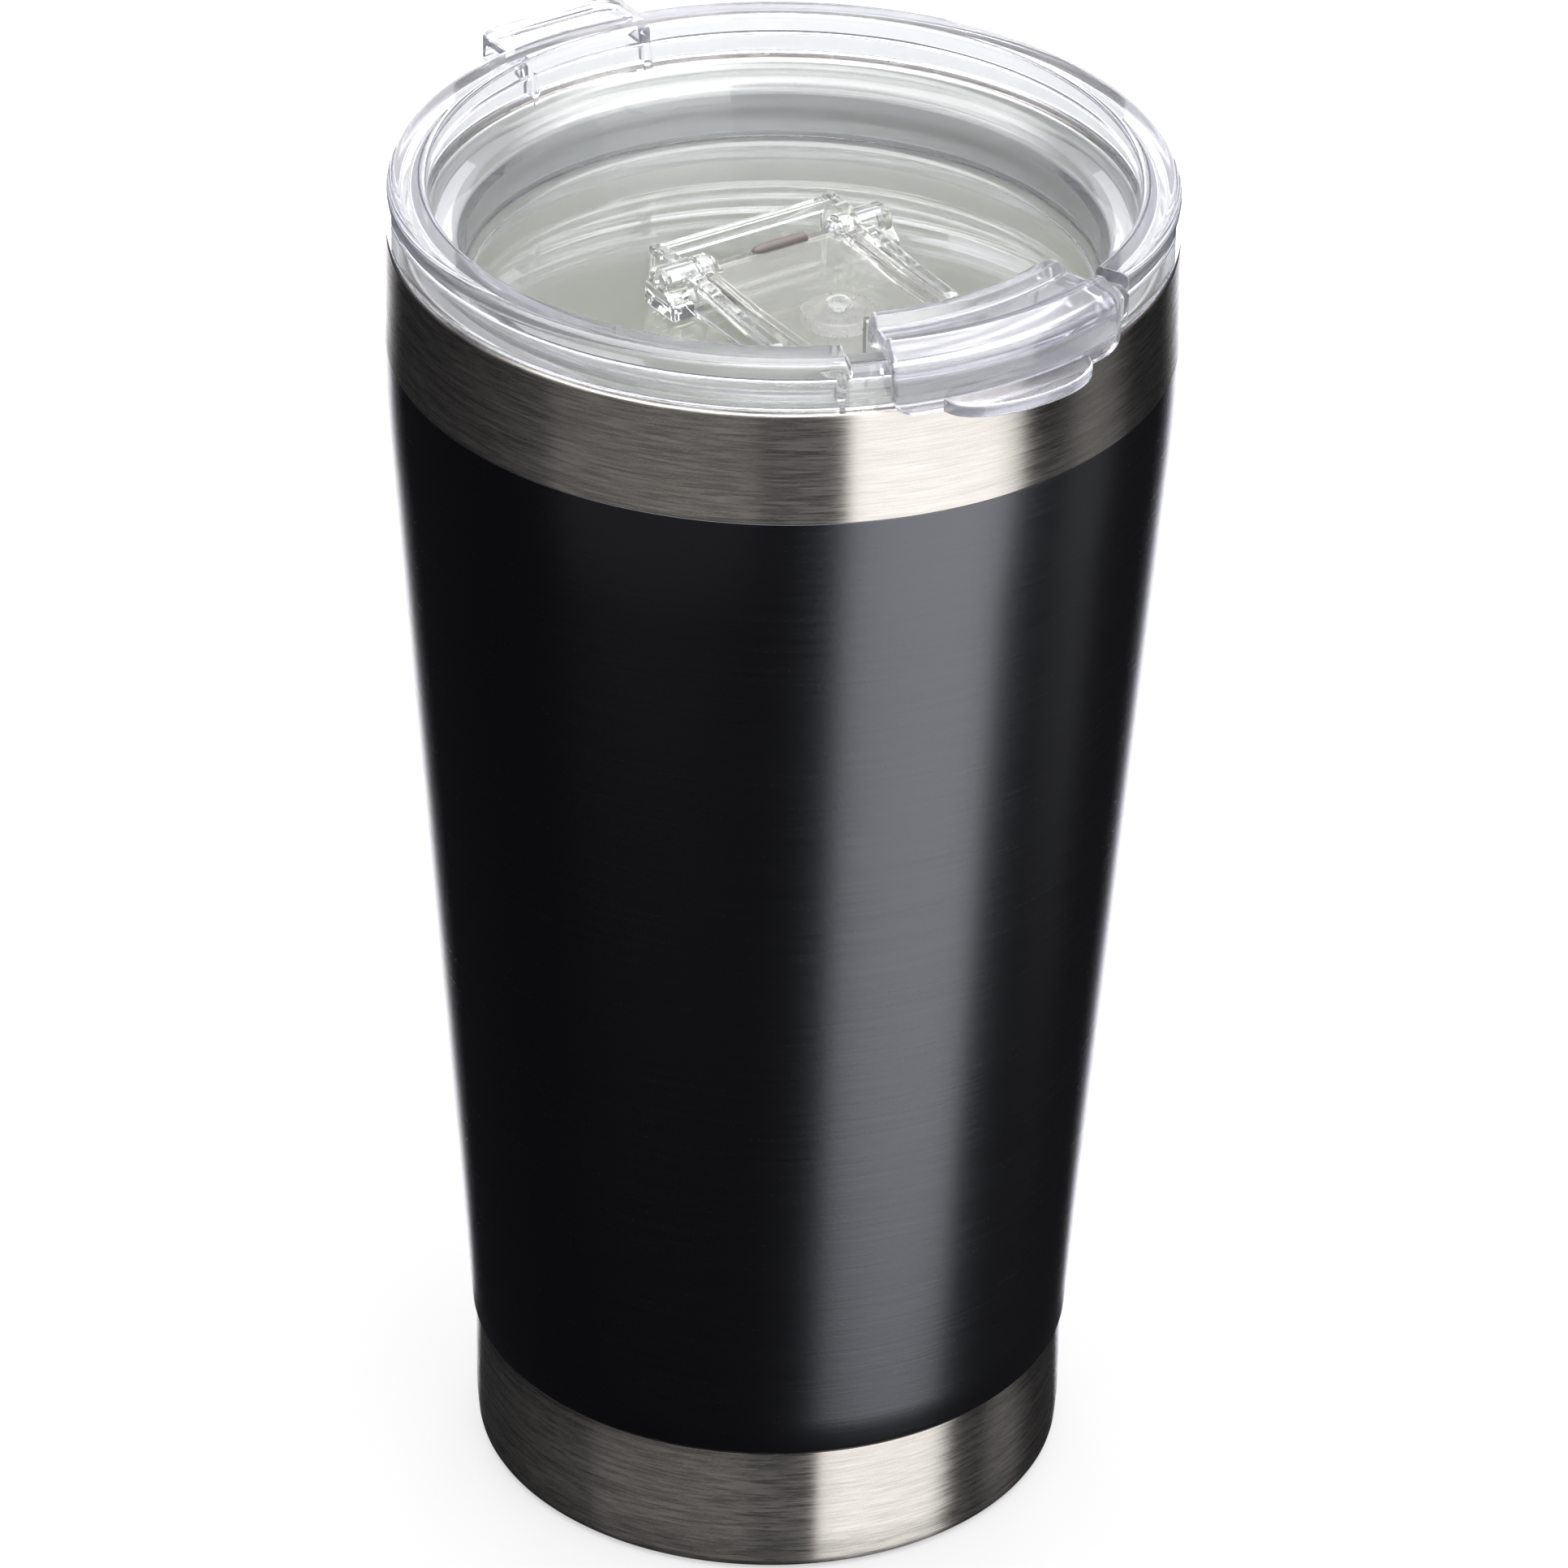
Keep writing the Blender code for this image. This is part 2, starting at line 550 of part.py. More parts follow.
def main():
    clear_scene()
    parts = new_collection("tumbler")
    tools = new_collection("tumbler_cutters")
    make_outer_shell(parts)
    make_black_coating(parts)
    make_inner_liner(parts)
    make_bottom_plate(parts)
    make_vacuum_seal(parts)
    make_getter_pellet(parts)
    make_base_cup(parts)
    make_lid_body(parts, tools)
    make_lid_gasket(parts)
    make_hinge_frame(parts, tools)
    make_hinge_pins(parts, tools)
    make_flap_arm(parts, tools)
    make_flap_clip(parts, tools)
    make_drink_seal(parts, tools)
    make_vent_plug(parts, tools)
    set_origin(("flap_arm", "flap_clip", "drink_seal", "vent_plug"), (0.0, HINGE_Y, HINGE_Z))


main()
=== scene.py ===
"""Looks for the insulated tumbler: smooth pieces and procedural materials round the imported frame.

The cup stands on the XY plane, centred on Z. The flap is at -Y and the lift tab at +Y. Shapes are
worked out in millimetres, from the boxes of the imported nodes, and turned into metres when a mesh is made.
"""

import json
import math

import bmesh
import bpy
from mathutils import Matrix, Vector


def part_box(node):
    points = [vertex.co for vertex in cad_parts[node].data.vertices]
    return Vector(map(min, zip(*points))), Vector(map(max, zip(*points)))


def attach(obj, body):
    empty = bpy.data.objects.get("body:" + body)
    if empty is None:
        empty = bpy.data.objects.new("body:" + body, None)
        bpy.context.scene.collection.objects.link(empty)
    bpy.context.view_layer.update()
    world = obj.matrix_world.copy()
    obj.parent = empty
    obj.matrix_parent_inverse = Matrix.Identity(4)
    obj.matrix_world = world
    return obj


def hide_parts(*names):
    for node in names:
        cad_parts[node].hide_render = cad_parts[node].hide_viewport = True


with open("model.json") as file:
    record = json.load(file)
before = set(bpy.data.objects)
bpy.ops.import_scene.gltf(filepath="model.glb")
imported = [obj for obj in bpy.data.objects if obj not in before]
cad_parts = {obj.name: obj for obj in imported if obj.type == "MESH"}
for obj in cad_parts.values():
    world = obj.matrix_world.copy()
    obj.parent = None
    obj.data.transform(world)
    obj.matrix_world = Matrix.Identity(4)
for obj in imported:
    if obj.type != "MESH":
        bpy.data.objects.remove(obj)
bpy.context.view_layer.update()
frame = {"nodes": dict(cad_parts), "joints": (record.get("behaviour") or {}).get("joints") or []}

MM = 0.001


def low(node, axis):
    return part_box(node)[0]["xyz".index(axis)] / MM


def high(node, axis):
    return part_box(node)[1]["xyz".index(axis)] / MM


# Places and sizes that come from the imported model
BODY_RADIUS = high("black_coating", "x")
COAT_TOP = high("black_coating", "z")
COAT_BOTTOM = low("black_coating", "z")
LIP_HEIGHT = high("outer_shell", "z")
BASE_RADIUS = high("base_cup", "x")
BASE_TOP = high("base_cup", "z")
LID_TOP = high("lid_body", "z")
LID_RADIUS = high("lid_body", "x")
FLOOR_BOTTOM = low("lid_body", "z")
TAB_REACH = high("lid_body", "y")
CLIP_TOP = high("flap_clip", "z")
SKIRT_BOTTOM = low("flap_clip", "z")
THUMB_REACH = -low("flap_clip", "y")
GASKET_RADIUS = high("lid_gasket", "x")
FRAME_BACK = high("hinge_frame", "y")
BLOCK_OUTER = high("hinge_frame", "x")
HINGE = next(joint for joint in frame["joints"] if joint["name"] == "flap_hinge")
HINGE_Y = HINGE["pos_m"][1] / MM
HINGE_Z = HINGE["pos_m"][2] / MM

# Cup
STEEL = 0.6  # thickness of the sheet
COAT = 0.5  # thickness of the coat
GAP = 0.3  # clearance drawn between neighbouring pieces
TAPER = 0.0765  # radius gained per millimetre of height
BEND_START = 130.0  # above it the cone bends upright
COAT_FOOT_ROUNDING = 0.35
MOUTH_RADIUS = 41.1
LINER_SHOULDER_RADIUS = 38.0
LINER_SHOULDER = 141.0
LINER_FLOOR = 11.0
LINER_CORNER = 6.0
BASE_RECESS = 0.9  # height of the base's sunken middle

# Lid
FLOOR_TOP = FLOOR_BOTTOM + 2.0
FLOOR_RADIUS = 35.4
PLUG_RADIUS = 37.0
CHANNEL_TOP = 160.6
NOTCH_DEPTH = 1.2
NOTCH_HALF_ANGLE = 24.5
TAB_HALF_WIDTH = 9.3
TAB_WALL = 1.4
TAB_TOP = 162.8
TAB_BOTTOM = 159.7
TAB_ROUNDING = 0.45  # of the tab's top edges at its sides
TAB_CORNER = 2.6  # of the tab in plan
VENT_RADIUS = 1.5
FRONT_RIB = NOTCH_HALF_ANGLE + 0.8  # degrees from the front to the ribs beside the notch
BACK_RIB = 10.9  # degrees from the back to the ribs beside the tab
RIB_HALF_WIDTH = 0.75  # in degrees

# Flap
RAIL_INNER = 8.6
RAIL_OUTER = 10.1
CHEEK_INNER = 10.5
CHEEK_OUTER = 12.3
PIN_RADIUS = 1.0
EYE_RADIUS = 2.0
ARM_LOW_Z = 151.6  # middle of the plate's level part
ARM_HALF = 0.7  # half the plate's thickness
ARM_BEND_Y = -9.0
ARM_FRONT_Y = -33.2
CHEEK_FRONT = -18.0
TONGUE_OUTER = 34.9
TONGUE = 1.3  # thickness of the wall that carries the clip
DRINK_Y = -26.5
DRINK_HALF_WIDTH = 7.0
DRINK_HALF_DEPTH = 4.0
VENT_Y = -11.0
VENT_PLUG_RADIUS = 4.2
SEAL_MARGIN = 1.2
PIN_HEAD_RADIUS = 1.45
PIN_CLEARANCE = 0.06
RIM_RADIUS = 40.0  # of the rim under the clip
CLIP_HALF_ANGLE = 19.0
CLIP_ROUNDING = 0.55  # of the clip's two ends
CLIP_CORNER = 2.4  # of the skirt's lower corners
SKIRT_INNER = 44.5
SKIRT_OUTER = 45.95
THUMB_THICKNESS = 1.5
THUMB_EDGE = 0.4
THUMB_HALF_ANGLE = 11.6

FRONT = -90.0  # direction of the flap, in degrees from +X
BACK = 90.0
ROUND = 288  # faces round a turned piece


# ---------------------------------------------------------------- shapes


def wave(share):
    """Smooth step from 0 to 1."""
    share = min(1.0, max(0.0, share))
    return share * share * (3.0 - 2.0 * share)


def fillet(corners, closed=True, steps=5, support=0.12):
    """Rounds the corners of an outline. A corner is (across, up) or (across, up, radius)."""
    points = []
    count = len(corners)
    for i, corner in enumerate(corners):
        here = Vector(corner[:2])
        radius = corner[2] if len(corner) > 2 else 0.0
        if radius == 0.0 or (not closed and i in (0, count - 1)):
            points.append(tuple(here))
            continue
        before = Vector(corners[i - 1][:2]) - here
        after = Vector(corners[(i + 1) % count][:2]) - here
        half = before.angle(after) / 2
        reach = min(radius / math.tan(half), 0.46 * before.length, 0.46 * after.length)
        radius = reach * math.tan(half)
        before.normalize()
        after.normalize()
        centre = here + (before + after).normalized() * radius / math.sin(half)
        start = here + before * reach - centre
        turn = start.angle_signed(here + after * reach - centre)
        points.append(tuple(here + before * (reach + support)))
        for k in range(steps + 1):
            arm = start.copy()
            arm.rotate(Matrix.Rotation(-turn * k / steps, 2))
            points.append(tuple(centre + arm))
        points.append(tuple(here + after * (reach + support)))
    return points


def finish_mesh(bm, name, sharp=32.0):
    bmesh.ops.recalc_face_normals(bm, faces=bm.faces)
    mesh = bpy.data.meshes.new(name)
    bm.to_mesh(mesh)
    bm.free()
    obj = bpy.data.objects.new(name, mesh)
    bpy.context.scene.collection.objects.link(obj)
    mesh.shade_smooth()
    mesh.set_sharp_from_angle(angle=math.radians(sharp))
    return obj


def whole_turn(extra=()):
    """Angles round a whole turn, in degrees, with extra ones where the shape changes quickly."""
    even = [360.0 * i / ROUND for i in range(ROUND)]
    kept = [a for a in even if all(abs(a - b % 360.0) > 0.3 for b in extra)]
    return sorted(kept + [b % 360.0 for b in extra])


def revolve(name, section, angles=None, closed=False, place=None):
    """A solid of revolution. section(angle) gives (radius, height) points, and place() may move them."""
    bm = bmesh.new()
    angles = angles or whole_turn()
    columns = []
    poles = {}
    for angle in angles:
        turn = math.radians(angle)
        column = []
        for i, point in enumerate(section(angle)):
            radius, height = point[:2]
            if radius < 1e-6:
                if i not in poles:
                    poles[i] = bm.verts.new((0, 0, height * MM))
                column.append(poles[i])
                continue
            spot = Vector((radius * math.cos(turn), radius * math.sin(turn), height))
            if place:
                spot = place(spot, angle, point)
            column.append(bm.verts.new(spot * MM))
        columns.append(column)
    points = len(columns[0])
    last = points if closed else points - 1
    for k, column in enumerate(columns):
        ahead = columns[(k + 1) % len(columns)]
        for i in range(last):
            j = (i + 1) % points
            ring = [column[i], column[j], ahead[j], ahead[i]]
            corners = list(dict.fromkeys(ring))
            if len(corners) > 2:
                bm.faces.new(corners)
    return finish_mesh(bm, name)


def sweep(name, section, angles, place=None):
    """A closed section swept through part of a turn, with its two ends closed."""
    bm = bmesh.new()
    columns = []
    for angle in angles:
        turn = math.radians(angle)
        column = []
        for point in section(angle):
            spot = Vector((point[0] * math.cos(turn), point[0] * math.sin(turn), point[1]))
            if place:
                spot = place(spot, angle, point)
            column.append(bm.verts.new(spot * MM))
        columns.append(column)
    for column, ahead in zip(columns, columns[1:]):
        for i in range(len(column)):
            j = (i + 1) % len(column)
            bm.faces.new((column[i], column[j], ahead[j], ahead[i]))
    ends = [bm.faces.new(columns[0]), bm.faces.new(columns[-1])]
    bmesh.ops.triangulate(bm, faces=ends)
    return finish_mesh(bm, name)


def turned(name, outline, closed=True, steps=ROUND):
    """A plain solid of revolution with one section all round."""
    angles = [360.0 * i / steps for i in range(steps)]
    return revolve(name, lambda angle: outline, angles, closed)


def bevelled(bm, edge, segments=3):
    if edge:
        bmesh.ops.bevel(
            bm,
            geom=list(bm.edges),
            offset=edge * MM,
            segments=segments,
            affect="EDGES",
            profile=0.5,
            clamp_overlap=True,
        )
    return bm


def prism(name, outline, low_x, high_x, edge=0.2):
    """A closed (y, z) outline given width along X, with rounded edges."""
    bm = bmesh.new()
    face = bm.faces.new([bm.verts.new((low_x * MM, y * MM, z * MM)) for y, z in outline])
    grown = bmesh.ops.extrude_face_region(bm, geom=[face])
    moved = [v for v in grown["geom"] if isinstance(v, bmesh.types.BMVert)]
    bmesh.ops.translate(bm, verts=moved, vec=((high_x - low_x) * MM, 0, 0))
    return finish_mesh(bevelled(bm, edge), name)


def plan_prism(name, outline, low_z, high_z, edge=0.2):
    """A closed (x, y) outline given height along Z, with rounded edges."""
    bm = bmesh.new()
    face = bm.faces.new([bm.verts.new((x * MM, y * MM, low_z * MM)) for x, y in outline])
    grown = bmesh.ops.extrude_face_region(bm, geom=[face])
    moved = [v for v in grown["geom"] if isinstance(v, bmesh.types.BMVert)]
    bmesh.ops.translate(bm, verts=moved, vec=(0, 0, (high_z - low_z) * MM))
    return finish_mesh(bevelled(bm, edge), name)


def pill(half_width, half_depth, middle_y, steps=10):
    """Plan outline of a slot with round ends, as (x, y) points."""
    points = []
    for side in (1, -1):
        for k in range(steps + 1):
            angle = math.radians(180 * k / steps - 90 * side)
            x = side * (half_width - half_depth) + half_depth * math.cos(angle)
            points.append((x, middle_y + half_depth * math.sin(angle)))
    return points


def rod(name, outline, steps=48):
    """A turned piece whose axis is X. The outline gives (radius, place along X) points."""
    bm = bmesh.new()
    columns = []
    for radius, along in outline:
        if radius < 1e-6:
            columns.append([bm.verts.new((along * MM, HINGE_Y * MM, HINGE_Z * MM))])
            continue
        ring = []
        for k in range(steps):
            angle = 2 * math.pi * k / steps
            y = HINGE_Y + radius * math.cos(angle)
            z = HINGE_Z + radius * math.sin(angle)
            ring.append(bm.verts.new((along * MM, y * MM, z * MM)))
        columns.append(ring)
    for here, ahead in zip(columns, columns[1:]):
        for k in range(steps):
            j = (k + 1) % steps
            ring = [here[k % len(here)], here[j % len(here)], ahead[j % len(ahead)], ahead[k % len(ahead)]]
            bm.faces.new(list(dict.fromkeys(ring)))
    return finish_mesh(bm, name)


def combine(obj, tools, operation):
    """Joins or cuts, applies the result and removes the tools."""
    for tool in tools:
        boolean = obj.modifiers.new(tool.name, "BOOLEAN")
        boolean.operation = operation
        boolean.solver = "EXACT"
        boolean.object = tool
    bpy.context.view_layer.update()
    evaluated = obj.evaluated_get(bpy.context.evaluated_depsgraph_get())
    mesh = bpy.data.meshes.new_from_object(evaluated)
    obj.modifiers.clear()
    obj.data = mesh
    mesh.name = obj.name
    for tool in tools:
        bpy.data.objects.remove(tool)
    mesh.shade_smooth()
    mesh.set_sharp_from_angle(angle=math.radians(32))
    return obj


def keep_flats(obj):
    """Lets the large flat faces set the shading at bevels and cuts."""
    weighted = obj.modifiers.new("keep_flats", "WEIGHTED_NORMAL")
    weighted.keep_sharp = True
    return obj


# ---------------------------------------------------------------- cup


def coat_radius(height):
    """Outer radius of the coated wall at a height."""
    bend = COAT_TOP - BEND_START
    foot = BODY_RADIUS - TAPER * (BEND_START - COAT_BOTTOM) - TAPER * bend / 2
    straight = foot + TAPER * (min(height, BEND_START) - COAT_BOTTOM)
    past = max(0.0, height - BEND_START)
    return straight + TAPER * past - TAPER * past * past / (2 * bend)


def wall(top, bottom, inset, steps=40):
    """Points down the coated wall, closer together in the bend."""
    heights = [top + (bottom - top) * (i / steps) ** 1.4 for i in range(steps + 1)]
    return [(coat_radius(z) - inset, z) for z in heights]


def make_coating():
    edge = COAT_FOOT_ROUNDING
    top = [(coat_radius(COAT_TOP) - 0.03, COAT_TOP), (coat_radius(COAT_TOP), COAT_TOP - 0.03)]
    outer = wall(COAT_TOP - 0.4, COAT_BOTTOM + edge + 0.1, 0.0)
    foot_radius = coat_radius(COAT_BOTTOM)
    foot = []
    for k in range(6):
        angle = math.radians(90 * k / 5)
        radius = foot_radius - edge + edge * math.cos(angle)
        foot.append((radius, COAT_BOTTOM + edge - edge * math.sin(angle)))
    inner = list(reversed(wall(COAT_TOP, COAT_BOTTOM, COAT, 24)))
    return turned("black_coat", top + outer + foot + inner)


def make_shell():
    under = COAT + GAP
    lip = LID_RADIUS
    band_bottom = COAT_TOP + 0.05
    outline = fillet(
        [
            (lip - 2.1, LIP_HEIGHT - 1.1, 0.5),
            (lip - 1.9, LIP_HEIGHT, 0.6),
            (lip, LIP_HEIGHT, 0.35),
            (lip + 0.05, 150.5, 8.0),
            (BODY_RADIUS, band_bottom, 0.03),
            (coat_radius(COAT_TOP) - under, band_bottom, 0.1),
        ]
    )
    outer = wall(COAT_TOP - 4.0, COAT_BOTTOM + 0.9, under, 20)
    neck = BASE_RADIUS - STEEL - GAP - 0.05
    foot = [(neck, COAT_BOTTOM), (neck, 2.2), (neck - STEEL, 2.2), (neck - STEEL, COAT_BOTTOM + 0.2)]
    inner = list(reversed(wall(COAT_TOP, COAT_BOTTOM + 1.1, under + STEEL, 20)))
    return turned("brushed_shell", outline + outer + foot + inner)


def liner_line(inset):
    """The liner from the mouth down to the middle of its floor."""
    corner = LINER_CORNER
    floor = LINER_FLOOR
    shoulder = LINER_SHOULDER_RADIUS
    drop = LINER_SHOULDER - floor - corner
    foot = shoulder - TAPER * drop
    neck_radius = MOUTH_RADIUS - 0.2
    neck = LINER_SHOULDER + 14.0
    points = [(MOUTH_RADIUS + inset, LIP_HEIGHT - 0.4), (MOUTH_RADIUS - 0.1 + inset, neck + 0.6)]
    for k in range(17):
        share = k / 16
        radius = neck_radius - (neck_radius - shoulder) * wave(share)
        points.append((radius + inset, neck - (neck - LINER_SHOULDER) * share))
    for k in range(1, 12):
        share = k / 12
        points.append((shoulder - (shoulder - foot) * share + inset, LINER_SHOULDER - drop * share))
    reach = corner + inset
    for k in range(13):
        angle = math.radians(-90 * k / 12)
        height = floor + corner + reach * math.sin(angle)
        points.append((foot - corner + reach * math.cos(angle), height))
    points.append((foot - corner - 1.0, floor - inset))
    return points


def make_liner():
    inner = liner_line(0.0)
    outer = liner_line(STEEL)
    lip = [
        (MOUTH_RADIUS + 0.2, LIP_HEIGHT - 0.1),
        (MOUTH_RADIUS + 0.4, LIP_HEIGHT),
        (LID_RADIUS - 2.2, LIP_HEIGHT - 0.05),
        (LID_RADIUS - 2.3, LIP_HEIGHT - 0.5),
    ]
    outline = [(0.0, LINER_FLOOR), *reversed(inner), *lip, *outer[1:], (0.0, LINER_FLOOR - STEEL)]
    return turned("steel_liner", outline, closed=False)


def make_base():
    r = BASE_RADIUS
    outline = fillet(
        [
            (0.0, BASE_RECESS + STEEL),
            (26.3, BASE_RECESS + STEEL, 0.6),
            (27.8, STEEL, 0.6),
            (r - STEEL, STEEL, 0.6),
            (r - STEEL, BASE_TOP, 0.15),
            (r, BASE_TOP, 0.08),
            (r, 4.0, 20.0),
            (r - 0.35, 0.0, 1.3),
            (27.4, 0.0, 0.5),
            (26.0, BASE_RECESS, 0.5),
            (0.0, BASE_RECESS),
        ],
        closed=False,
    )
    return turned("brushed_base", outline, closed=False)


# ---------------------------------------------------------------- lid


def tab_outline(reach, hollow):
    """The lift tab's section beyond the flange as (distance out, height) points, hollow from 0 to 1."""
    r = 0.8
    wall_in = reach - TAB_WALL
    roof = TAB_BOTTOM + (TAB_TOP - 1.4 - TAB_BOTTOM) * hollow
    points = [(0.0, TAB_TOP), (0.25 * reach, TAB_TOP), (reach - r, TAB_TOP)]
    for k in range(1, 6):
        angle = math.radians(90 - 90 * k / 5)
        points.append((reach - r + r * math.cos(angle), TAB_TOP - r + r * math.sin(angle)))
    outer_foot = [
        (reach, TAB_TOP - 1.4),
        (reach, TAB_BOTTOM + 0.35),
        (reach - 0.1, TAB_BOTTOM + 0.1),
        (reach - 0.35, TAB_BOTTOM),
    ]
    inner_foot = [
        (wall_in + 0.35, TAB_BOTTOM),
        (wall_in + 0.1, TAB_BOTTOM + 0.1 * hollow),
        (wall_in, TAB_BOTTOM + 0.35 * hollow),
    ]
    under_roof = [
        (wall_in, roof - 0.5 * hollow),
        (wall_in - 0.15, roof - 0.15 * hollow),
        (wall_in - 0.5, roof),
        (0.55, roof),
        (0.1, roof - 0.1 * hollow),
        (0.0, roof - 0.5 * hollow - 0.01),
    ]
    return points + outer_foot + inner_foot + under_roof


def tab_state(angle):
    """How far the tab reaches beyond the flange at an angle, how hollow it is, and its edge rounding."""
    x = abs(LID_RADIUS * math.sin(math.radians(angle - BACK)))
    away = abs((angle - BACK + 180.0) % 360.0 - 180.0)
    if away > 60.0 or x > TAB_HALF_WIDTH:
        return 0.0, 0.0, 0.0
    corner = TAB_CORNER
    past = max(0.0, x - (TAB_HALF_WIDTH - corner))
    front = TAB_REACH - (corner - math.sqrt(max(0.0, corner * corner - past * past)))
    reach = front - LID_RADIUS * math.cos(math.radians(angle - BACK))
    inner_half = TAB_HALF_WIDTH - TAB_WALL
    hollow = 1.0 if x < inner_half else 0.0
    edge = TAB_ROUNDING
    rim = max(0.0, x - (TAB_HALF_WIDTH - edge))
    return reach, hollow, edge - math.sqrt(max(0.0, edge * edge - rim * rim))


def rib(angle):
    """1 where a radial rib fills the flange's channel, 0 elsewhere."""
    width = RIB_HALF_WIDTH
    for middle, half in ((FRONT, FRONT_RIB), (BACK, BACK_RIB)):
        away = abs((angle - middle + 180.0) % 360.0 - 180.0)
        gap = abs(away - half)
        if gap < width:
            return 1.0 - wave((gap - width * 0.72) / (width * 0.28))
    return 0.0


def flange_above():
    """From the middle of the floor up the recess and over the flange, down to the tab's top."""
    top = LID_TOP
    return fillet(
        [
            (0.0, FLOOR_TOP),
            (FLOOR_RADIUS, FLOOR_TOP, 1.0),
            (FLOOR_RADIUS + 0.1, 154.3, 1.0),
            (36.3, 156.7, 1.4),
            (38.8, 157.6, 1.2),
            (39.6, top, 0.7),
            (LID_RADIUS, top, 1.3),
            (LID_RADIUS, 161.0),
        ],
        closed=False,
        steps=6,
    )[:-1]


def flange_below(fill):
    """From the foot of the flange up into its channel, down the plug and under the floor."""
    roof = CHANNEL_TOP - (CHANNEL_TOP - 158.2) * fill
    return fillet(
        [
            (LID_RADIUS, 159.4),
            (LID_RADIUS, LIP_HEIGHT + GAP, 0.35),
            (42.4, LIP_HEIGHT + GAP, 0.3),
            (42.4, roof, 0.4),
            (41.0, roof, 0.4),
            (40.4, LIP_HEIGHT, 1.2),
            (PLUG_RADIUS, 155.1, 0.8),
            (PLUG_RADIUS, 149.6, 0.3),
            (PLUG_RADIUS + 0.8, 149.2, 0.3),
            (PLUG_RADIUS + 0.6, 148.2, 0.5),
            (PLUG_RADIUS - 0.5, FLOOR_BOTTOM, 0.6),
            (0.0, FLOOR_BOTTOM),
        ],
        closed=False,
        steps=4,
    )


def lid_section(angle):
    reach, hollow, drop = tab_state(angle)
    above = flange_above()
    below = flange_below(rib(angle))
    away = abs((angle - FRONT + 180.0) % 360.0 - 180.0)
    notch = 1.0 - wave((away - NOTCH_HALF_ANGLE + 0.5) / 1.0)
    points = []
    for radius, height in above:
        sunk = NOTCH_DEPTH * notch * wave((height - 159.5) / 2.0) if radius > 38.9 else 0.0
        points.append((radius, height - sunk, 0.0))
    tab = tab_outline(max(reach, 2.0), hollow)
    for i, (out, height) in enumerate(tab):
        if reach <= 0.0:
            share = i / (len(tab) - 1)
            plain = 161.0 - 1.4 * share
            points.append((LID_RADIUS, plain, 0.0))
            continue
        height = min(height, TAB_TOP - drop)
        points.append((LID_RADIUS - (0.2 if i == 0 else 0.0), height, out))
    points += [(radius, height, 0.0) for radius, height in below]
    return points


def tab_place(spot, angle, point):
    """Moves the tab's points straight out along +Y, so that its sides are parallel."""
    spot.y += point[2]
    return spot


def lid_angles():
    extra = []
    for side in (-1, 1):
        for half in (NOTCH_HALF_ANGLE, FRONT_RIB):
            extra += [FRONT + side * (half + 0.15 * k) for k in range(-6, 7)]
        for x in [TAB_HALF_WIDTH + 0.02, TAB_HALF_WIDTH - 0.001]:
            extra.append(BACK + side * math.degrees(math.asin(x / LID_RADIUS)))
        for k in range(1, 10):
            x = TAB_HALF_WIDTH - TAB_ROUNDING * (1 - math.cos(math.radians(10 * k)))
            extra.append(BACK + side * math.degrees(math.asin(x / LID_RADIUS)))
        for x in (TAB_HALF_WIDTH - TAB_WALL + 0.05, TAB_HALF_WIDTH - TAB_WALL - 0.001):
            extra.append(BACK + side * math.degrees(math.asin(x / LID_RADIUS)))
        extra += [BACK + side * (BACK_RIB + 0.15 * k) for k in range(-5, 6)]
        extra += [BACK + side * (0.5 + k) for k in range(0, 9)]
    unique = []
    for angle in sorted(a % 360.0 for a in extra):
        if not unique or angle - unique[-1] > 0.008:
            unique.append(angle)
    return whole_turn(unique)


def circle(radius, middle_y, steps):
    """Plan outline of a round hole, as (x, y) points."""
    turns = [2.0 * math.pi * k / steps for k in range(steps)]
    return [(radius * math.cos(turn), middle_y + radius * math.sin(turn)) for turn in turns]


def make_lid():
    lid = revolve("lid_body_clear", lid_section, lid_angles(), place=tab_place)
    slot = pill(DRINK_HALF_WIDTH, DRINK_HALF_DEPTH, DRINK_Y)
    drink = plan_prism("drink_cut", slot, FLOOR_BOTTOM - 2, FLOOR_TOP + 2, 0.0)
    vent = plan_prism("vent_cut", circle(VENT_RADIUS, VENT_Y, 36), FLOOR_BOTTOM - 2, FLOOR_TOP + 2, 0.0)
    return combine(lid, [drink, vent], "DIFFERENCE")


def make_gasket():
    root = PLUG_RADIUS + GAP
    tip = GASKET_RADIUS
    outline = fillet(
        [
            (root, 149.9, 0.2),
            (root + 1.0, 150.3, 0.3),
            (tip - 0.5, 151.1, 0.15),
            (tip - 0.6, 151.6, 0.15),
            (root + 1.5, 152.1, 0.4),
            (root + 1.5, 152.7, 0.4),
            (tip, 153.7, 0.15),
            (tip - 0.1, 154.2, 0.15),
            (root + 1.0, 154.8, 0.3),
            (root, 154.6, 0.2),
        ],
        steps=3,
        support=0.03,
    )
    return turned("gasket_ring", outline)


# ---------------------------------------------------------------- hinge and flap


SIDES = ((-1, "left"), (1, "right"))


def along_x(side, near, far):
    """The lower and upper X of a span on one side of the middle."""
    return sorted((side * near, side * far))


def side_rod(name, side, outline):
    """A turned piece on the hinge axis, on one side of the middle."""
    return rod(name, [(radius, side * along) for radius, along in outline])


def make_cheek(side, label):
    floor = FLOOR_TOP + GAP
    outline = [
        (CHEEK_FRONT, floor),
        (FRAME_BACK, floor),
        (FRAME_BACK, 154.3),
        (HINGE_Y + 2.0, 154.2),
        (HINGE_Y - 2.0, 153.9),
        (-9.0, 152.9),
        (CHEEK_FRONT + 2.0, 152.7),
        (CHEEK_FRONT, 151.2),
    ]
    return prism(f"cheek_{label}", outline, *along_x(side, CHEEK_INNER, CHEEK_OUTER), 0.3)


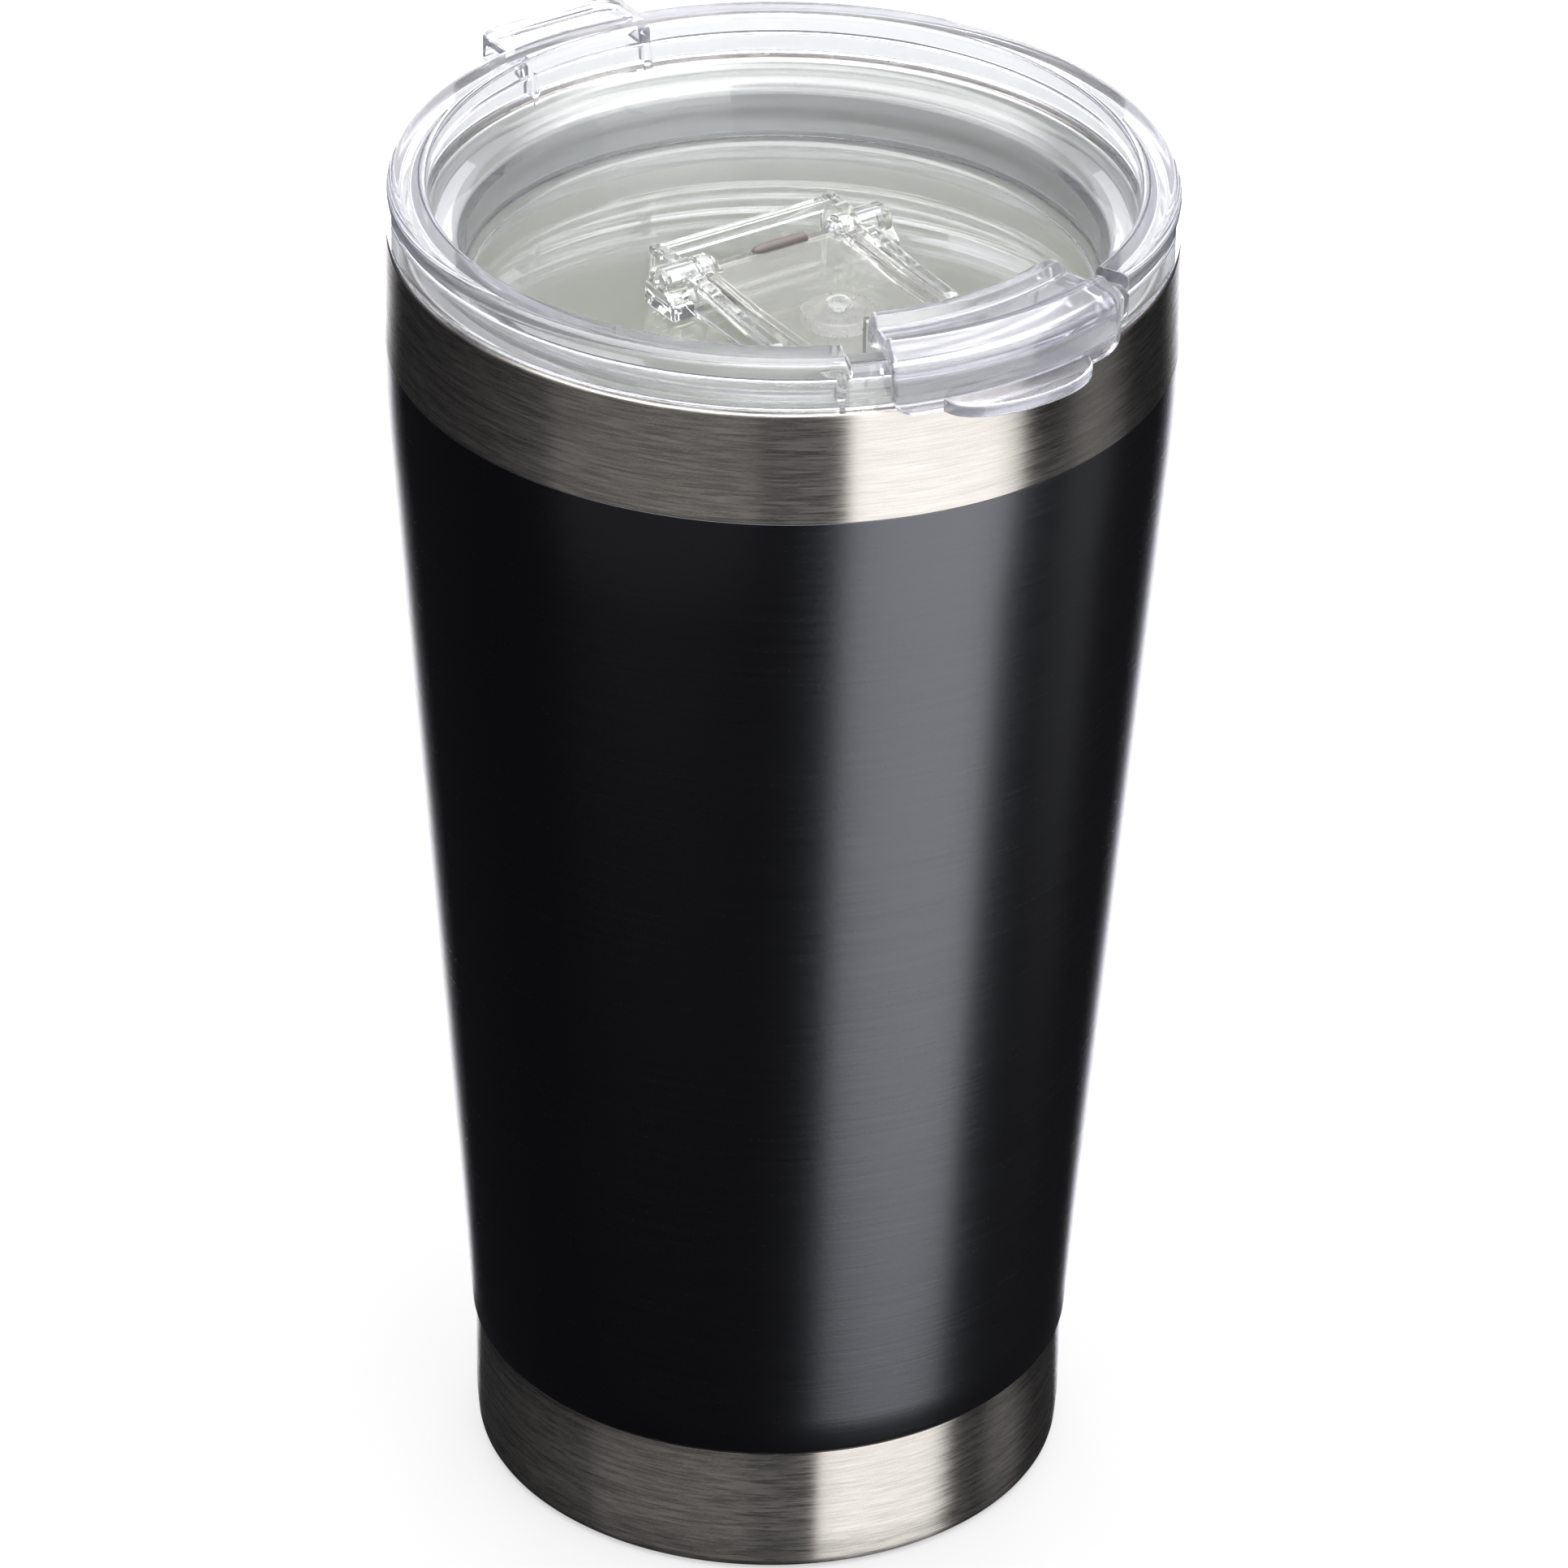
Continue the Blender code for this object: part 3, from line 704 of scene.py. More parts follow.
def make_block(side, label):
    """The bearing block outside a cheek."""
    foot = FLOOR_TOP + GAP + 0.05
    outline = [
        (HINGE_Y - 3.6, foot),
        (HINGE_Y + 2.6, foot),
        (HINGE_Y + 2.3, HINGE_Z - 0.3),
        (HINGE_Y - 1.6, HINGE_Z - 0.3),
        (HINGE_Y - 3.2, HINGE_Z - 1.6),
    ]
    return prism(f"block_{label}", outline, *along_x(side, CHEEK_OUTER - 0.5, BLOCK_OUTER), 0.35)


def make_eye(side, label):
    outline = [
        (0.0, CHEEK_INNER + 0.3),
        (EYE_RADIUS, CHEEK_INNER + 0.3),
        (EYE_RADIUS, BLOCK_OUTER - 0.5),
        (EYE_RADIUS - 0.15, BLOCK_OUTER - 0.25),
        (EYE_RADIUS - 0.4, BLOCK_OUTER - 0.2),
        (0.0, BLOCK_OUTER - 0.2),
    ]
    return side_rod(f"eye_{label}", side, outline)


def make_blind_hole(side, label):
    radius = PIN_RADIUS + PIN_CLEARANCE
    near = CHEEK_INNER - 2
    far = BLOCK_OUTER - 1.0
    return side_rod(f"hole_{label}", side, [(0.0, near), (radius, near), (radius, far), (0.0, far)])


def make_hinge_frame():
    """The crossbar with a cheek, a bearing block and an eye at each end."""
    front = FRAME_BACK - 1.4
    back = FRAME_BACK - 0.05
    bar = [(front, 152.7), (back, 152.7), (back, 154.15), (front, 154.15)]
    reach = CHEEK_INNER + 0.6
    frame_obj = prism("hinge_frame_clear", bar, -reach, reach, 0.25)
    tools = []
    for side, label in SIDES:
        tools += [make_cheek(side, label), make_block(side, label), make_eye(side, label)]
    combine(frame_obj, tools, "UNION")
    combine(frame_obj, [make_blind_hole(side, label) for side, label in SIDES], "DIFFERENCE")
    return keep_flats(frame_obj)


def make_pin(side, label):
    """A hinge pin, with a small head inside the rail."""
    start = RAIL_INNER - 0.9
    end = BLOCK_OUTER - 1.3
    head = [
        (0.0, start),
        (PIN_HEAD_RADIUS - 0.25, start),
        (PIN_HEAD_RADIUS - 0.07, start + 0.06),
        (PIN_HEAD_RADIUS, start + 0.2),
        (PIN_HEAD_RADIUS, start + 0.4),
        (PIN_HEAD_RADIUS - 0.07, start + 0.5),
    ]
    shank = [
        (PIN_RADIUS, start + 0.55),
        (PIN_RADIUS, end - 0.25),
        (PIN_RADIUS - 0.08, end - 0.08),
        (PIN_RADIUS - 0.25, end),
        (0.0, end),
    ]
    return side_rod(f"pin_{label}", side, head + shank)


def arm_strip(above_hinge, above_level, below, front=ARM_FRONT_Y):
    """Side outline of a strip that slopes down from the hinge, then lies level up to the rim."""
    return [
        (HINGE_Y, HINGE_Z + above_hinge),
        (ARM_BEND_Y, ARM_LOW_Z + above_level),
        (front, ARM_LOW_Z + above_level),
        (front, ARM_LOW_Z - below),
        (ARM_BEND_Y, ARM_LOW_Z - below),
        (HINGE_Y, HINGE_Z - below),
    ]


def make_rail(side, label):
    return prism(f"rail_{label}", arm_strip(0.8, 1.5, 1.1), *along_x(side, RAIL_INNER, RAIL_OUTER), 0.3)


def make_rail_eye(side, label):
    near = RAIL_INNER - 0.05
    far = RAIL_OUTER + 0.05
    rim = EYE_RADIUS - 0.1
    outline = [
        (0.0, near),
        (rim - 0.1, near),
        (rim, near + 0.1),
        (rim, far - 0.1),
        (rim - 0.1, far),
        (0.0, far),
    ]
    return side_rod(f"rail_eye_{label}", side, outline)


def make_pin_hole(side, label):
    """The hole through a rail, wider where the pin's head sits."""
    radius = PIN_RADIUS + PIN_CLEARANCE
    head = PIN_HEAD_RADIUS + 0.1
    step = RAIL_INNER - 0.25
    outline = [
        (0.0, RAIL_INNER - 1.2),
        (head, RAIL_INNER - 1.2),
        (head, step),
        (radius, step),
        (radius, RAIL_OUTER + 2),
        (0.0, RAIL_OUTER + 2),
    ]
    return side_rod(f"pin_hole_{label}", side, outline)


def make_tongue():
    """The upright wall at the arm's front, which carries the clip."""
    outline = fillet(
        [
            (TONGUE_OUTER - TONGUE, 150.6, 0.3),
            (TONGUE_OUTER, 150.6, 0.3),
            (TONGUE_OUTER, 163.2, 0.4),
            (TONGUE_OUTER - TONGUE, 163.2, 0.4),
        ],
        steps=3,
        support=0.03,
    )
    steps = 40
    angles = [FRONT - CLIP_HALF_ANGLE + 2 * CLIP_HALF_ANGLE * k / steps for k in range(steps + 1)]
    return sweep("tongue", lambda angle: outline, angles)


def make_arm():
    """The flap's plate with its two rails, their eyes and the tongue."""
    plate = arm_strip(ARM_HALF, ARM_HALF, ARM_HALF)
    half_width = RAIL_INNER + 0.5
    arm = prism("flap_arm_clear", plate, -half_width, half_width, 0.12)
    tools = []
    for side, label in SIDES:
        tools += [make_rail(side, label), make_rail_eye(side, label)]
    combine(arm, [*tools, make_tongue()], "UNION")
    holes = [make_pin_hole(side, label) for side, label in SIDES]
    for label, y in (("vent", VENT_Y), ("drink", DRINK_Y)):
        holes.append(plan_prism(f"{label}_stud_hole", circle(1.0, y, 30), 149.0, 156.0, 0.0))
    combine(arm, holes, "DIFFERENCE")
    return keep_flats(arm)


def make_gate_slug():
    """The brownish gate mark left by moulding on the arm's back edge, tapered at one end."""
    radius = 0.8
    start = -2.7
    taper = 1.6
    end = 4.4
    rounding = 0.3
    quarter = [math.radians(90 * k / 8) for k in range(1, 9)]
    points = [(0.0, start)]
    points += [(radius * math.sin(turn), start + taper * (1 - math.cos(turn))) for turn in quarter]
    points += [(radius, 0.4), (radius, end - rounding)]
    inner = radius - rounding
    for turn in quarter:
        points.append((inner + rounding * math.cos(turn), end - rounding + rounding * math.sin(turn)))
    points.append((0.0, end))
    slug = rod("gate_mark", points, 32)
    slug.data.transform(Matrix.Translation((0.0, -0.2 * MM, 0.45 * MM)))
    return slug


def clip_corners():
    """Section of the hook: inner leg, top with two ridges, and the skirt outside the flange."""
    leg = TONGUE_OUTER + GAP
    past_edge = [THUMB_THICKNESS - THUMB_EDGE * (1.0 - k / 6) for k in range(7)]
    thumb_root = [(SKIRT_OUTER, SKIRT_BOTTOM + height) for height in [*past_edge, THUMB_THICKNESS + 0.05]]
    return [
        (leg, 160.6, 0.3),
        (leg + 1.3, 160.6, 0.3),
        (leg + 1.4, 162.4, 0.6),
        (SKIRT_INNER - 0.6, 162.4, 1.0),
        (SKIRT_INNER, 161.0, 1.5),
        (SKIRT_INNER, SKIRT_BOTTOM, 0.25),
        (SKIRT_OUTER, SKIRT_BOTTOM, 0.25),
        *thumb_root,
        (SKIRT_OUTER, 160.0, 4.0),
        (SKIRT_OUTER - 0.3, 163.6, 1.6),
        (43.4, CLIP_TOP, 0.9),
        (42.4, CLIP_TOP - 0.1, 0.6),
        (41.6, 164.15, 0.9),
        (38.4, 164.05, 0.9),
        (37.4, CLIP_TOP - 0.15, 0.5),
        (leg + 0.9, CLIP_TOP - 0.2, 0.8),
        (leg, 163.6, 0.6),
    ]


def offset_outline(points, depth):
    """Moves each point of a closed outline inwards by a depth."""
    moved = []
    count = len(points)
    pairs = [(points[i], points[(i + 1) % count]) for i in range(count)]
    area = sum(here[0] * there[1] - there[0] * here[1] for here, there in pairs)
    inward = 1.0 if area > 0 else -1.0
    for i in range(count):
        ahead = Vector(points[(i + 1) % count]) - Vector(points[i - 1])
        ahead.normalize()
        moved.append((points[i][0] - inward * ahead.y * depth, points[i][1] + inward * ahead.x * depth))
    return moved


def clip_section(angle):
    """The hook's section near its ends is thinner, and its skirt and top corners are rounded."""
    half = CLIP_HALF_ANGLE
    away = abs(angle - FRONT)
    x = math.radians(half - away) * RIM_RADIUS  # distance from the end, along the rim
    rounding = CLIP_ROUNDING
    depth = 0.0
    if x < rounding:
        depth = rounding - math.sqrt(max(0.0, rounding**2 - (rounding - x) ** 2))
    corner = CLIP_CORNER
    lift = 0.0
    if x < corner:
        lift = corner - math.sqrt(max(0.0, corner**2 - (corner - x) ** 2))
    points = offset_outline(fillet(clip_corners(), steps=4, support=0.05), depth)
    result = []
    skirt_top = 161.0
    skirt = skirt_top - SKIRT_BOTTOM
    for radius, height in points:
        if radius > SKIRT_INNER - 0.8 and height < skirt_top:
            height = skirt_top - (skirt_top - height) * (skirt - lift) / skirt
        result.append((radius, height, thumb_reach(angle, radius, height)))
    return result


def thumb_reach(angle, radius, height):
    """How far a point of the skirt's outer foot is pulled out to make the thumb tab."""
    half = THUMB_HALF_ANGLE
    away = abs(angle - FRONT)
    past = height - (SKIRT_BOTTOM + THUMB_THICKNESS - THUMB_EDGE)
    if away >= half or radius < SKIRT_OUTER - 0.26 or past > THUMB_EDGE + 0.01:
        return 0.0
    across = math.sqrt(max(0.0, 1.0 - (away / half) ** 2.4))
    rounding = THUMB_EDGE - math.sqrt(max(0.0, THUMB_EDGE**2 - max(0.0, past) ** 2))
    return max(0.0, across * (THUMB_REACH - SKIRT_OUTER) - rounding)


def thumb_place(spot, angle, point):
    """Moves the thumb tab's points straight out from the axis."""
    turn = math.radians(angle)
    return spot + Vector((math.cos(turn), math.sin(turn), 0.0)) * point[2]


def make_clip():
    half = CLIP_HALF_ANGLE
    ends = [0.0, 0.02, 0.08, 0.18, 0.3, 0.45, 0.65, 0.9, 1.2, 1.6, 2.0, 2.5, 3.0, 3.6]
    angles = [FRONT - half + d for d in ends]
    inner = half - ends[-1]
    angles += [FRONT - inner + 2 * inner * k / 60 for k in range(1, 60)]
    angles += [FRONT + half - d for d in reversed(ends)]
    return sweep("flap_clip_milky", clip_section, angles, thumb_place)


def stud(name, y):
    """A push-through button head above the arm's plate."""
    top = ARM_LOW_Z + ARM_HALF + 0.15
    neck = FLOOR_TOP + GAP + 0.2
    outline = [(0.0, top + 0.45), (0.7, top + 0.4), (1.2, top + 0.28), (1.45, top + 0.1), (1.45, top)]
    outline += [(0.95, top), (0.95, neck), (0.0, neck)]
    obj = turned(name, outline, closed=False, steps=40)
    obj.data.transform(Matrix.Translation((0.0, y * MM, 0.0)))
    return obj


def make_drink_seal():
    outline = pill(DRINK_HALF_WIDTH + SEAL_MARGIN, DRINK_HALF_DEPTH + SEAL_MARGIN, DRINK_Y, 16)
    under_arm = ARM_LOW_Z - ARM_HALF - 0.05
    seal = plan_prism("drink_seal_soft", outline, FLOOR_TOP + 0.05, under_arm, 0.3)
    return keep_flats(combine(seal, [stud("drink_stud", DRINK_Y)], "UNION"))


def make_vent_plug():
    r = VENT_PLUG_RADIUS
    top = ARM_LOW_Z - ARM_HALF - 0.05
    bottom = FLOOR_TOP + 0.05
    corners = [(0.0, top), (r, top, 0.3), (r, bottom, 0.3), (0.0, bottom)]
    outline = fillet(corners, closed=False, steps=4, support=0.05)
    plug = turned("vent_plug_soft", outline, closed=False, steps=72)
    plug.data.transform(Matrix.Translation((0.0, VENT_Y * MM, 0.0)))
    return keep_flats(combine(plug, [stud("vent_stud", VENT_Y)], "UNION"))


# ---------------------------------------------------------------- materials

STEEL_COLOUR = (0.43, 0.406, 0.375)
STEEL_ROUGHNESS = 0.27

# Sockets of a colour mix node
MIX_FACTOR = 0
MIX_A = 6
MIX_B = 7
MIX_RESULT = 2


class Look:
    """A Principled material with the node helpers that the looks below share."""

    def __init__(self, name, colour, roughness, metallic=0.0):
        self.material = bpy.data.materials.new(name)
        self.material.use_nodes = True
        self.nodes = self.material.node_tree.nodes
        self.links = self.material.node_tree.links
        self.shader = self.nodes["Principled BSDF"]
        self.set("Base Color", (*colour, 1.0))
        self.set("Roughness", roughness)
        self.set("Metallic", metallic)
        self.coordinates = self.nodes.new("ShaderNodeTexCoord")

    def set(self, socket, value):
        self.shader.inputs[socket].default_value = value

    def link(self, source, target):
        self.links.new(source, target)

    def noise(self, scale, detail=4.0, roughness=0.55):
        """Noise over object space. scale is in patches per metre along X, Y and Z."""
        mapping = self.nodes.new("ShaderNodeMapping")
        mapping.inputs["Scale"].default_value = scale
        self.link(self.coordinates.outputs["Object"], mapping.inputs["Vector"])
        noise = self.nodes.new("ShaderNodeTexNoise")
        noise.inputs["Scale"].default_value = 1.0
        noise.inputs["Detail"].default_value = detail
        noise.inputs["Roughness"].default_value = roughness
        self.link(mapping.outputs["Vector"], noise.inputs["Vector"])
        return noise.outputs["Fac"]

    def ramp(self, value, low_value, high_value, from_low=0.3, from_high=0.7):
        remap = self.nodes.new("ShaderNodeMapRange")
        remap.inputs["From Min"].default_value = from_low
        remap.inputs["From Max"].default_value = from_high
        remap.inputs["To Min"].default_value = low_value
        remap.inputs["To Max"].default_value = high_value
        self.link(value, remap.inputs["Value"])
        return remap.outputs["Result"]

    def maths(self, operation, a, b):
        node = self.nodes.new("ShaderNodeMath")
        node.operation = operation
        for socket, value in zip(node.inputs, (a, b)):
            if isinstance(value, (int, float)):
                socket.default_value = value
            else:
                self.link(value, socket)
        return node.outputs["Value"]

    def tint(self, value, dark, light):
        mix = self.nodes.new("ShaderNodeMix")
        mix.data_type = "RGBA"
        mix.inputs[MIX_A].default_value = (*dark, 1.0)
        mix.inputs[MIX_B].default_value = (*light, 1.0)
        self.link(value, mix.inputs[MIX_FACTOR])
        self.link(mix.outputs[MIX_RESULT], self.shader.inputs["Base Color"])

    def roughen(self, value):
        self.link(value, self.shader.inputs["Roughness"])

    def bump(self, value, depth, strength=1.0):
        """Bump whose full range of value is depth metres."""
        bump = self.nodes.new("ShaderNodeBump")
        bump.inputs["Strength"].default_value = strength
        bump.inputs["Distance"].default_value = depth
        self.link(value, bump.inputs["Height"])
        self.link(bump.outputs["Normal"], self.shader.inputs["Normal"])


def scaled(colour, factor):
    """A colour made darker, or lighter up to full brightness."""
    return tuple(min(1.0, channel * factor) for channel in colour)


def brushed_steel(name, colour, roughness, seed_scale=1.0):
    """Stainless sheet brushed round the body: fine streaks along the circumference."""
    look = Look(name, colour, roughness, metallic=1.0)
    fine = look.noise((200 * seed_scale, 200 * seed_scale, 7500), 2.0)
    broad = look.noise((80, 80, 2200), 3.0)
    streaks = look.maths("ADD", look.maths("MULTIPLY", fine, 0.65), look.maths("MULTIPLY", broad, 0.35))
    look.tint(look.ramp(streaks, 0.0, 1.0, 0.35, 0.65), scaled(colour, 0.8), scaled(colour, 1.14))
    look.roughen(look.ramp(streaks, roughness - 0.04, roughness + 0.05, 0.35, 0.65))
    look.bump(streaks, 0.000007)
    look.set("Anisotropic", 1.0)
    look.set("Anisotropic Rotation", 0.25)
    tangent = look.nodes.new("ShaderNodeTangent")
    tangent.direction_type = "RADIAL"
    tangent.axis = "Z"
    look.link(tangent.outputs["Tangent"], look.shader.inputs["Tangent"])
    return look.material


def satin_steel(name, colour, roughness):
    """Electropolished sheet: a soft mottle with hardly any direction."""
    look = Look(name, colour, roughness, metallic=1.0)
    mottle = look.noise((500, 500, 900), 5.0)
    cloud = look.noise((45, 45, 45), 2.0)
    look.tint(cloud, scaled(colour, 0.95), scaled(colour, 1.04))
    look.roughen(look.ramp(mottle, roughness - 0.05, roughness + 0.06))
    look.bump(mottle, 0.000008)
    return look.material


def black_coat():
    """Satin black powder coat: very fine skin texture and faint drawn lines from the sheet under it."""
    look = Look("black_coat", (0.001, 0.001, 0.0013), 0.24)
    skin = look.noise((2600, 2600, 2600), 2.0)
    lines = look.noise((70, 70, 2600), 3.0)
    cloud = look.noise((24, 24, 24), 2.0)
    mixed = look.maths("ADD", look.maths("MULTIPLY", skin, 0.4), look.maths("MULTIPLY", lines, 0.6))
    look.tint(cloud, (0.0005, 0.0005, 0.0007), (0.0009, 0.0009, 0.0013))
    look.roughen(look.ramp(mixed, 0.22, 0.28))
    look.bump(mixed, 0.00001)
    look.set("IOR", 1.75)
    look.set("Specular Tint", (0.88, 0.91, 1.0, 1.0))
    return look.material


def clear_plastic(name, colour, roughness=0.015, absorb=(0.62, 0.63, 0.72), density=80.0, clarity=0.95):
    """Clear moulding: faint flow lines, a few soft haze patches, and a slight tint with depth."""
    look = Look(name, colour, roughness)
    look.set("Transmission Weight", clarity)
    look.set("IOR", 1.49)
    flow = look.noise((70, 70, 160), 2.0)
    haze = look.noise((320, 320, 320), 4.0)
    look.tint(flow, scaled(colour, 0.985), colour)
    look.roughen(look.ramp(haze, roughness * 0.5, roughness * 2.2))
    look.bump(flow, 0.00002, 0.15)
    absorption = look.nodes.new("ShaderNodeVolumeAbsorption")
    absorption.inputs["Color"].default_value = (*absorb, 1.0)
    absorption.inputs["Density"].default_value = density
    output = look.nodes["Material Output"]
    look.link(absorption.outputs["Volume"], output.inputs["Volume"])
    return look.material


def milky_plastic(name, colour, roughness, transmission, bump=0.000004):
    """Translucent moulding with a soft cloudy body."""
    look = Look(name, colour, roughness)
    look.set("Transmission Weight", transmission)
    look.set("IOR", 1.47)
    cloud = look.noise((110, 110, 110), 3.0)
    skin = look.noise((700, 700, 700), 3.0)
    look.tint(cloud, scaled(colour, 0.965), colour)
    look.roughen(look.ramp(skin, roughness * 0.8, roughness * 1.25))
    look.bump(skin, bump)
    return look.material


def soft_silicone(name, colour, roughness, transmission):
    """Translucent silicone with a fine matt grain."""
    look = Look(name, colour, roughness)
    look.set("Transmission Weight", transmission)
    look.set("IOR", 1.41)
    grain = look.noise((1800, 1800, 1800), 3.0)
    look.tint(grain, scaled(colour, 0.95), colour)
    look.roughen(look.ramp(grain, roughness - 0.06, roughness + 0.08))
    look.bump(grain, 0.000015)
    return look.material


def sintered(name, colour, roughness, metallic):
    """Grainy pressed or fused material."""
    look = Look(name, colour, roughness, metallic)
    grain = look.noise((2500, 2500, 2500), 4.0)
    look.tint(grain, scaled(colour, 0.7), scaled(colour, 1.3))
    look.roughen(look.ramp(grain, roughness - 0.1, roughness + 0.1))
    look.bump(grain, 0.00004)
    return look.material


# ---------------------------------------------------------------- stage

CAMERA_AZIMUTH = -34.0
CAMERA_AWAY = 939.89  # millimetres from the axis
CAMERA_ASIDE = 0.955
CAMERA_HEIGHT = 644.78
CAMERA_PITCH = -30.76
CAMERA_ROLL = 0.859
CAMERA_LENS = 220.1

# The studio's dome, by height from straight down (0) to straight up (1): unlit under the floor,
# dim lavender walls, bright overhead
DOME = [
    (0.47, (0.02, 0.02, 0.022)),
    (0.52, (0.14, 0.14, 0.155)),
    (0.84, (0.24, 0.24, 0.26)),
    (0.91, (6.6, 6.6, 6.65)),
]

# Width in metres and power in watts of the overlapping layers of the fill light, for soft edges
FILL_LAYERS = ((1.15, 0.66), (0.75, 0.43), (0.35, 0.2))


def spot_round(azimuth, distance, height):
    """A point at an azimuth in degrees, counted as the views count it: 0 is -Y and 90 is +X."""
    turn = math.radians(azimuth)
    return Vector((distance * math.sin(turn), -distance * math.cos(turn), height))


def add_camera():
    data = bpy.data.cameras.new("camera")
    data.sensor_width = 36.0
    data.lens = CAMERA_LENS
    data.clip_start = 0.05
    data.clip_end = 30.0
    camera = bpy.data.objects.new("camera", data)
    bpy.context.scene.collection.objects.link(camera)
    azimuth = math.radians(CAMERA_AZIMUTH)
    back = spot_round(CAMERA_AZIMUTH, 1.0, 0.0)
    side = Vector((math.cos(azimuth), math.sin(azimuth), 0.0))
    pitch = math.radians(CAMERA_PITCH)
    ahead = -back * math.cos(pitch) + Vector((0.0, 0.0, math.sin(pitch)))
    up = side.cross(ahead)
    roll = math.radians(CAMERA_ROLL)
    right = side * math.cos(roll) + up * math.sin(roll)
    up = up * math.cos(roll) - side * math.sin(roll)
    place = (back * CAMERA_AWAY + side * CAMERA_ASIDE) * MM + Vector((0, 0, CAMERA_HEIGHT * MM))
    turn = Matrix((right, up, -ahead)).transposed().to_4x4()
    camera.matrix_world = Matrix.Translation(place) @ turn
    bpy.context.scene.camera = camera


def add_softbox(name, azimuth, distance, height, width, tall, watts, colour=(1, 1, 1)):
    """An upright rectangular light that faces the cup's axis."""
    data = bpy.data.lights.new(name, "AREA")
    data.shape = "RECTANGLE"
    data.size = width
    data.size_y = tall
    data.energy = watts
    data.color = colour
    lamp = bpy.data.objects.new(name, data)
    bpy.context.scene.collection.objects.link(lamp)
    lamp.location = spot_round(azimuth, distance, height)
    aim = spot_round(azimuth, -distance, 0.0)
    lamp.rotation_euler = aim.to_track_quat("-Z", "Y").to_euler()
    lamp.visible_camera = False
    return lamp


def add_floor():
    """A pale floor that also glows evenly, so that the contact shadow stays faint."""
    bm = bmesh.new()
    bmesh.ops.create_circle(bm, cap_ends=True, segments=96, radius=9.0)
    floor = finish_mesh(bm, "floor")
    floor.location.z = -0.00005
    look = Look("pale_floor", (0.16, 0.16, 0.16), 0.8)
    grain = look.noise((40, 40, 40), 3.0)
    look.tint(grain, (0.158, 0.158, 0.159), (0.162, 0.162, 0.162))
    look.set("Emission Color", (1.0, 1.0, 1.0, 1.0))
    look.set("Emission Strength", 0.55)
    floor.data.materials.append(look.material)
    floor.visible_glossy = False
    floor.visible_shadow = False


def add_world():
    world = bpy.data.worlds.new("studio")
    bpy.context.scene.world = world
    world.use_nodes = True
    nodes = world.node_tree.nodes
    links = world.node_tree.links
    coordinates = nodes.new("ShaderNodeTexCoord")
    split = nodes.new("ShaderNodeSeparateXYZ")
    links.new(coordinates.outputs["Generated"], split.inputs["Vector"])
    height = nodes.new("ShaderNodeMapRange")
    height.inputs["From Min"].default_value = -1.0
    links.new(split.outputs["Z"], height.inputs["Value"])
    dome = nodes.new("ShaderNodeValToRGB")
    links.new(height.outputs["Result"], dome.inputs["Fac"])
    stops = dome.color_ramp.elements
    while len(stops) < len(DOME):
        stops.new(1.0)
    for stop, (position, colour) in zip(stops, DOME):
        stop.position = position
        stop.color = (*colour, 1.0)
    path = nodes.new("ShaderNodeLightPath")
    mix = nodes.new("ShaderNodeMix")
    mix.data_type = "RGBA"
    mix.inputs[MIX_B].default_value = (1.0, 1.0, 1.0, 1.0)
    links.new(dome.outputs["Color"], mix.inputs[MIX_A])
    links.new(path.outputs["Is Camera Ray"], mix.inputs[MIX_FACTOR])
    links.new(mix.outputs[MIX_RESULT], nodes["Background"].inputs["Color"])


def add_studio():
    add_world()
    add_floor()
    add_softbox("key_softbox", 10.5, 0.9, 0.05, 0.85, 1.7, 12.3, (0.98, 0.985, 1.0))
    add_softbox("rim_left", CAMERA_AZIMUTH - 166.0, 0.9, 0.1, 0.3, 1.4, 3.6, (0.96, 0.95, 1.0))
    add_softbox("rim_right", CAMERA_AZIMUTH + 166.0, 0.9, 0.1, 0.3, 1.4, 4.0, (0.92, 0.92, 1.0))
    warm = (1.0, 0.96, 0.92)
    for layer, (width, watts) in enumerate(FILL_LAYERS):
        add_softbox(f"fill_left_{layer}", CAMERA_AZIMUTH - 36.0, 1.0, 0.0, width, 1.2, watts, warm)
    add_softbox("fill_right", CAMERA_AZIMUTH + 99.0, 1.0, 0.0, 0.35, 1.2, 0.35)


# ---------------------------------------------------------------- assembly


def place_piece(obj, material, body, node):
    """Dresses a piece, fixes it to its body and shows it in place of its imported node."""
    obj.data.materials.clear()
    obj.data.materials.append(material)
    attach(obj, body)
    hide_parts(node)


def dress_node(name, material):
    """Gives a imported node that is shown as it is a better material."""
    for slot in frame["nodes"][name].material_slots:
        slot.material = material


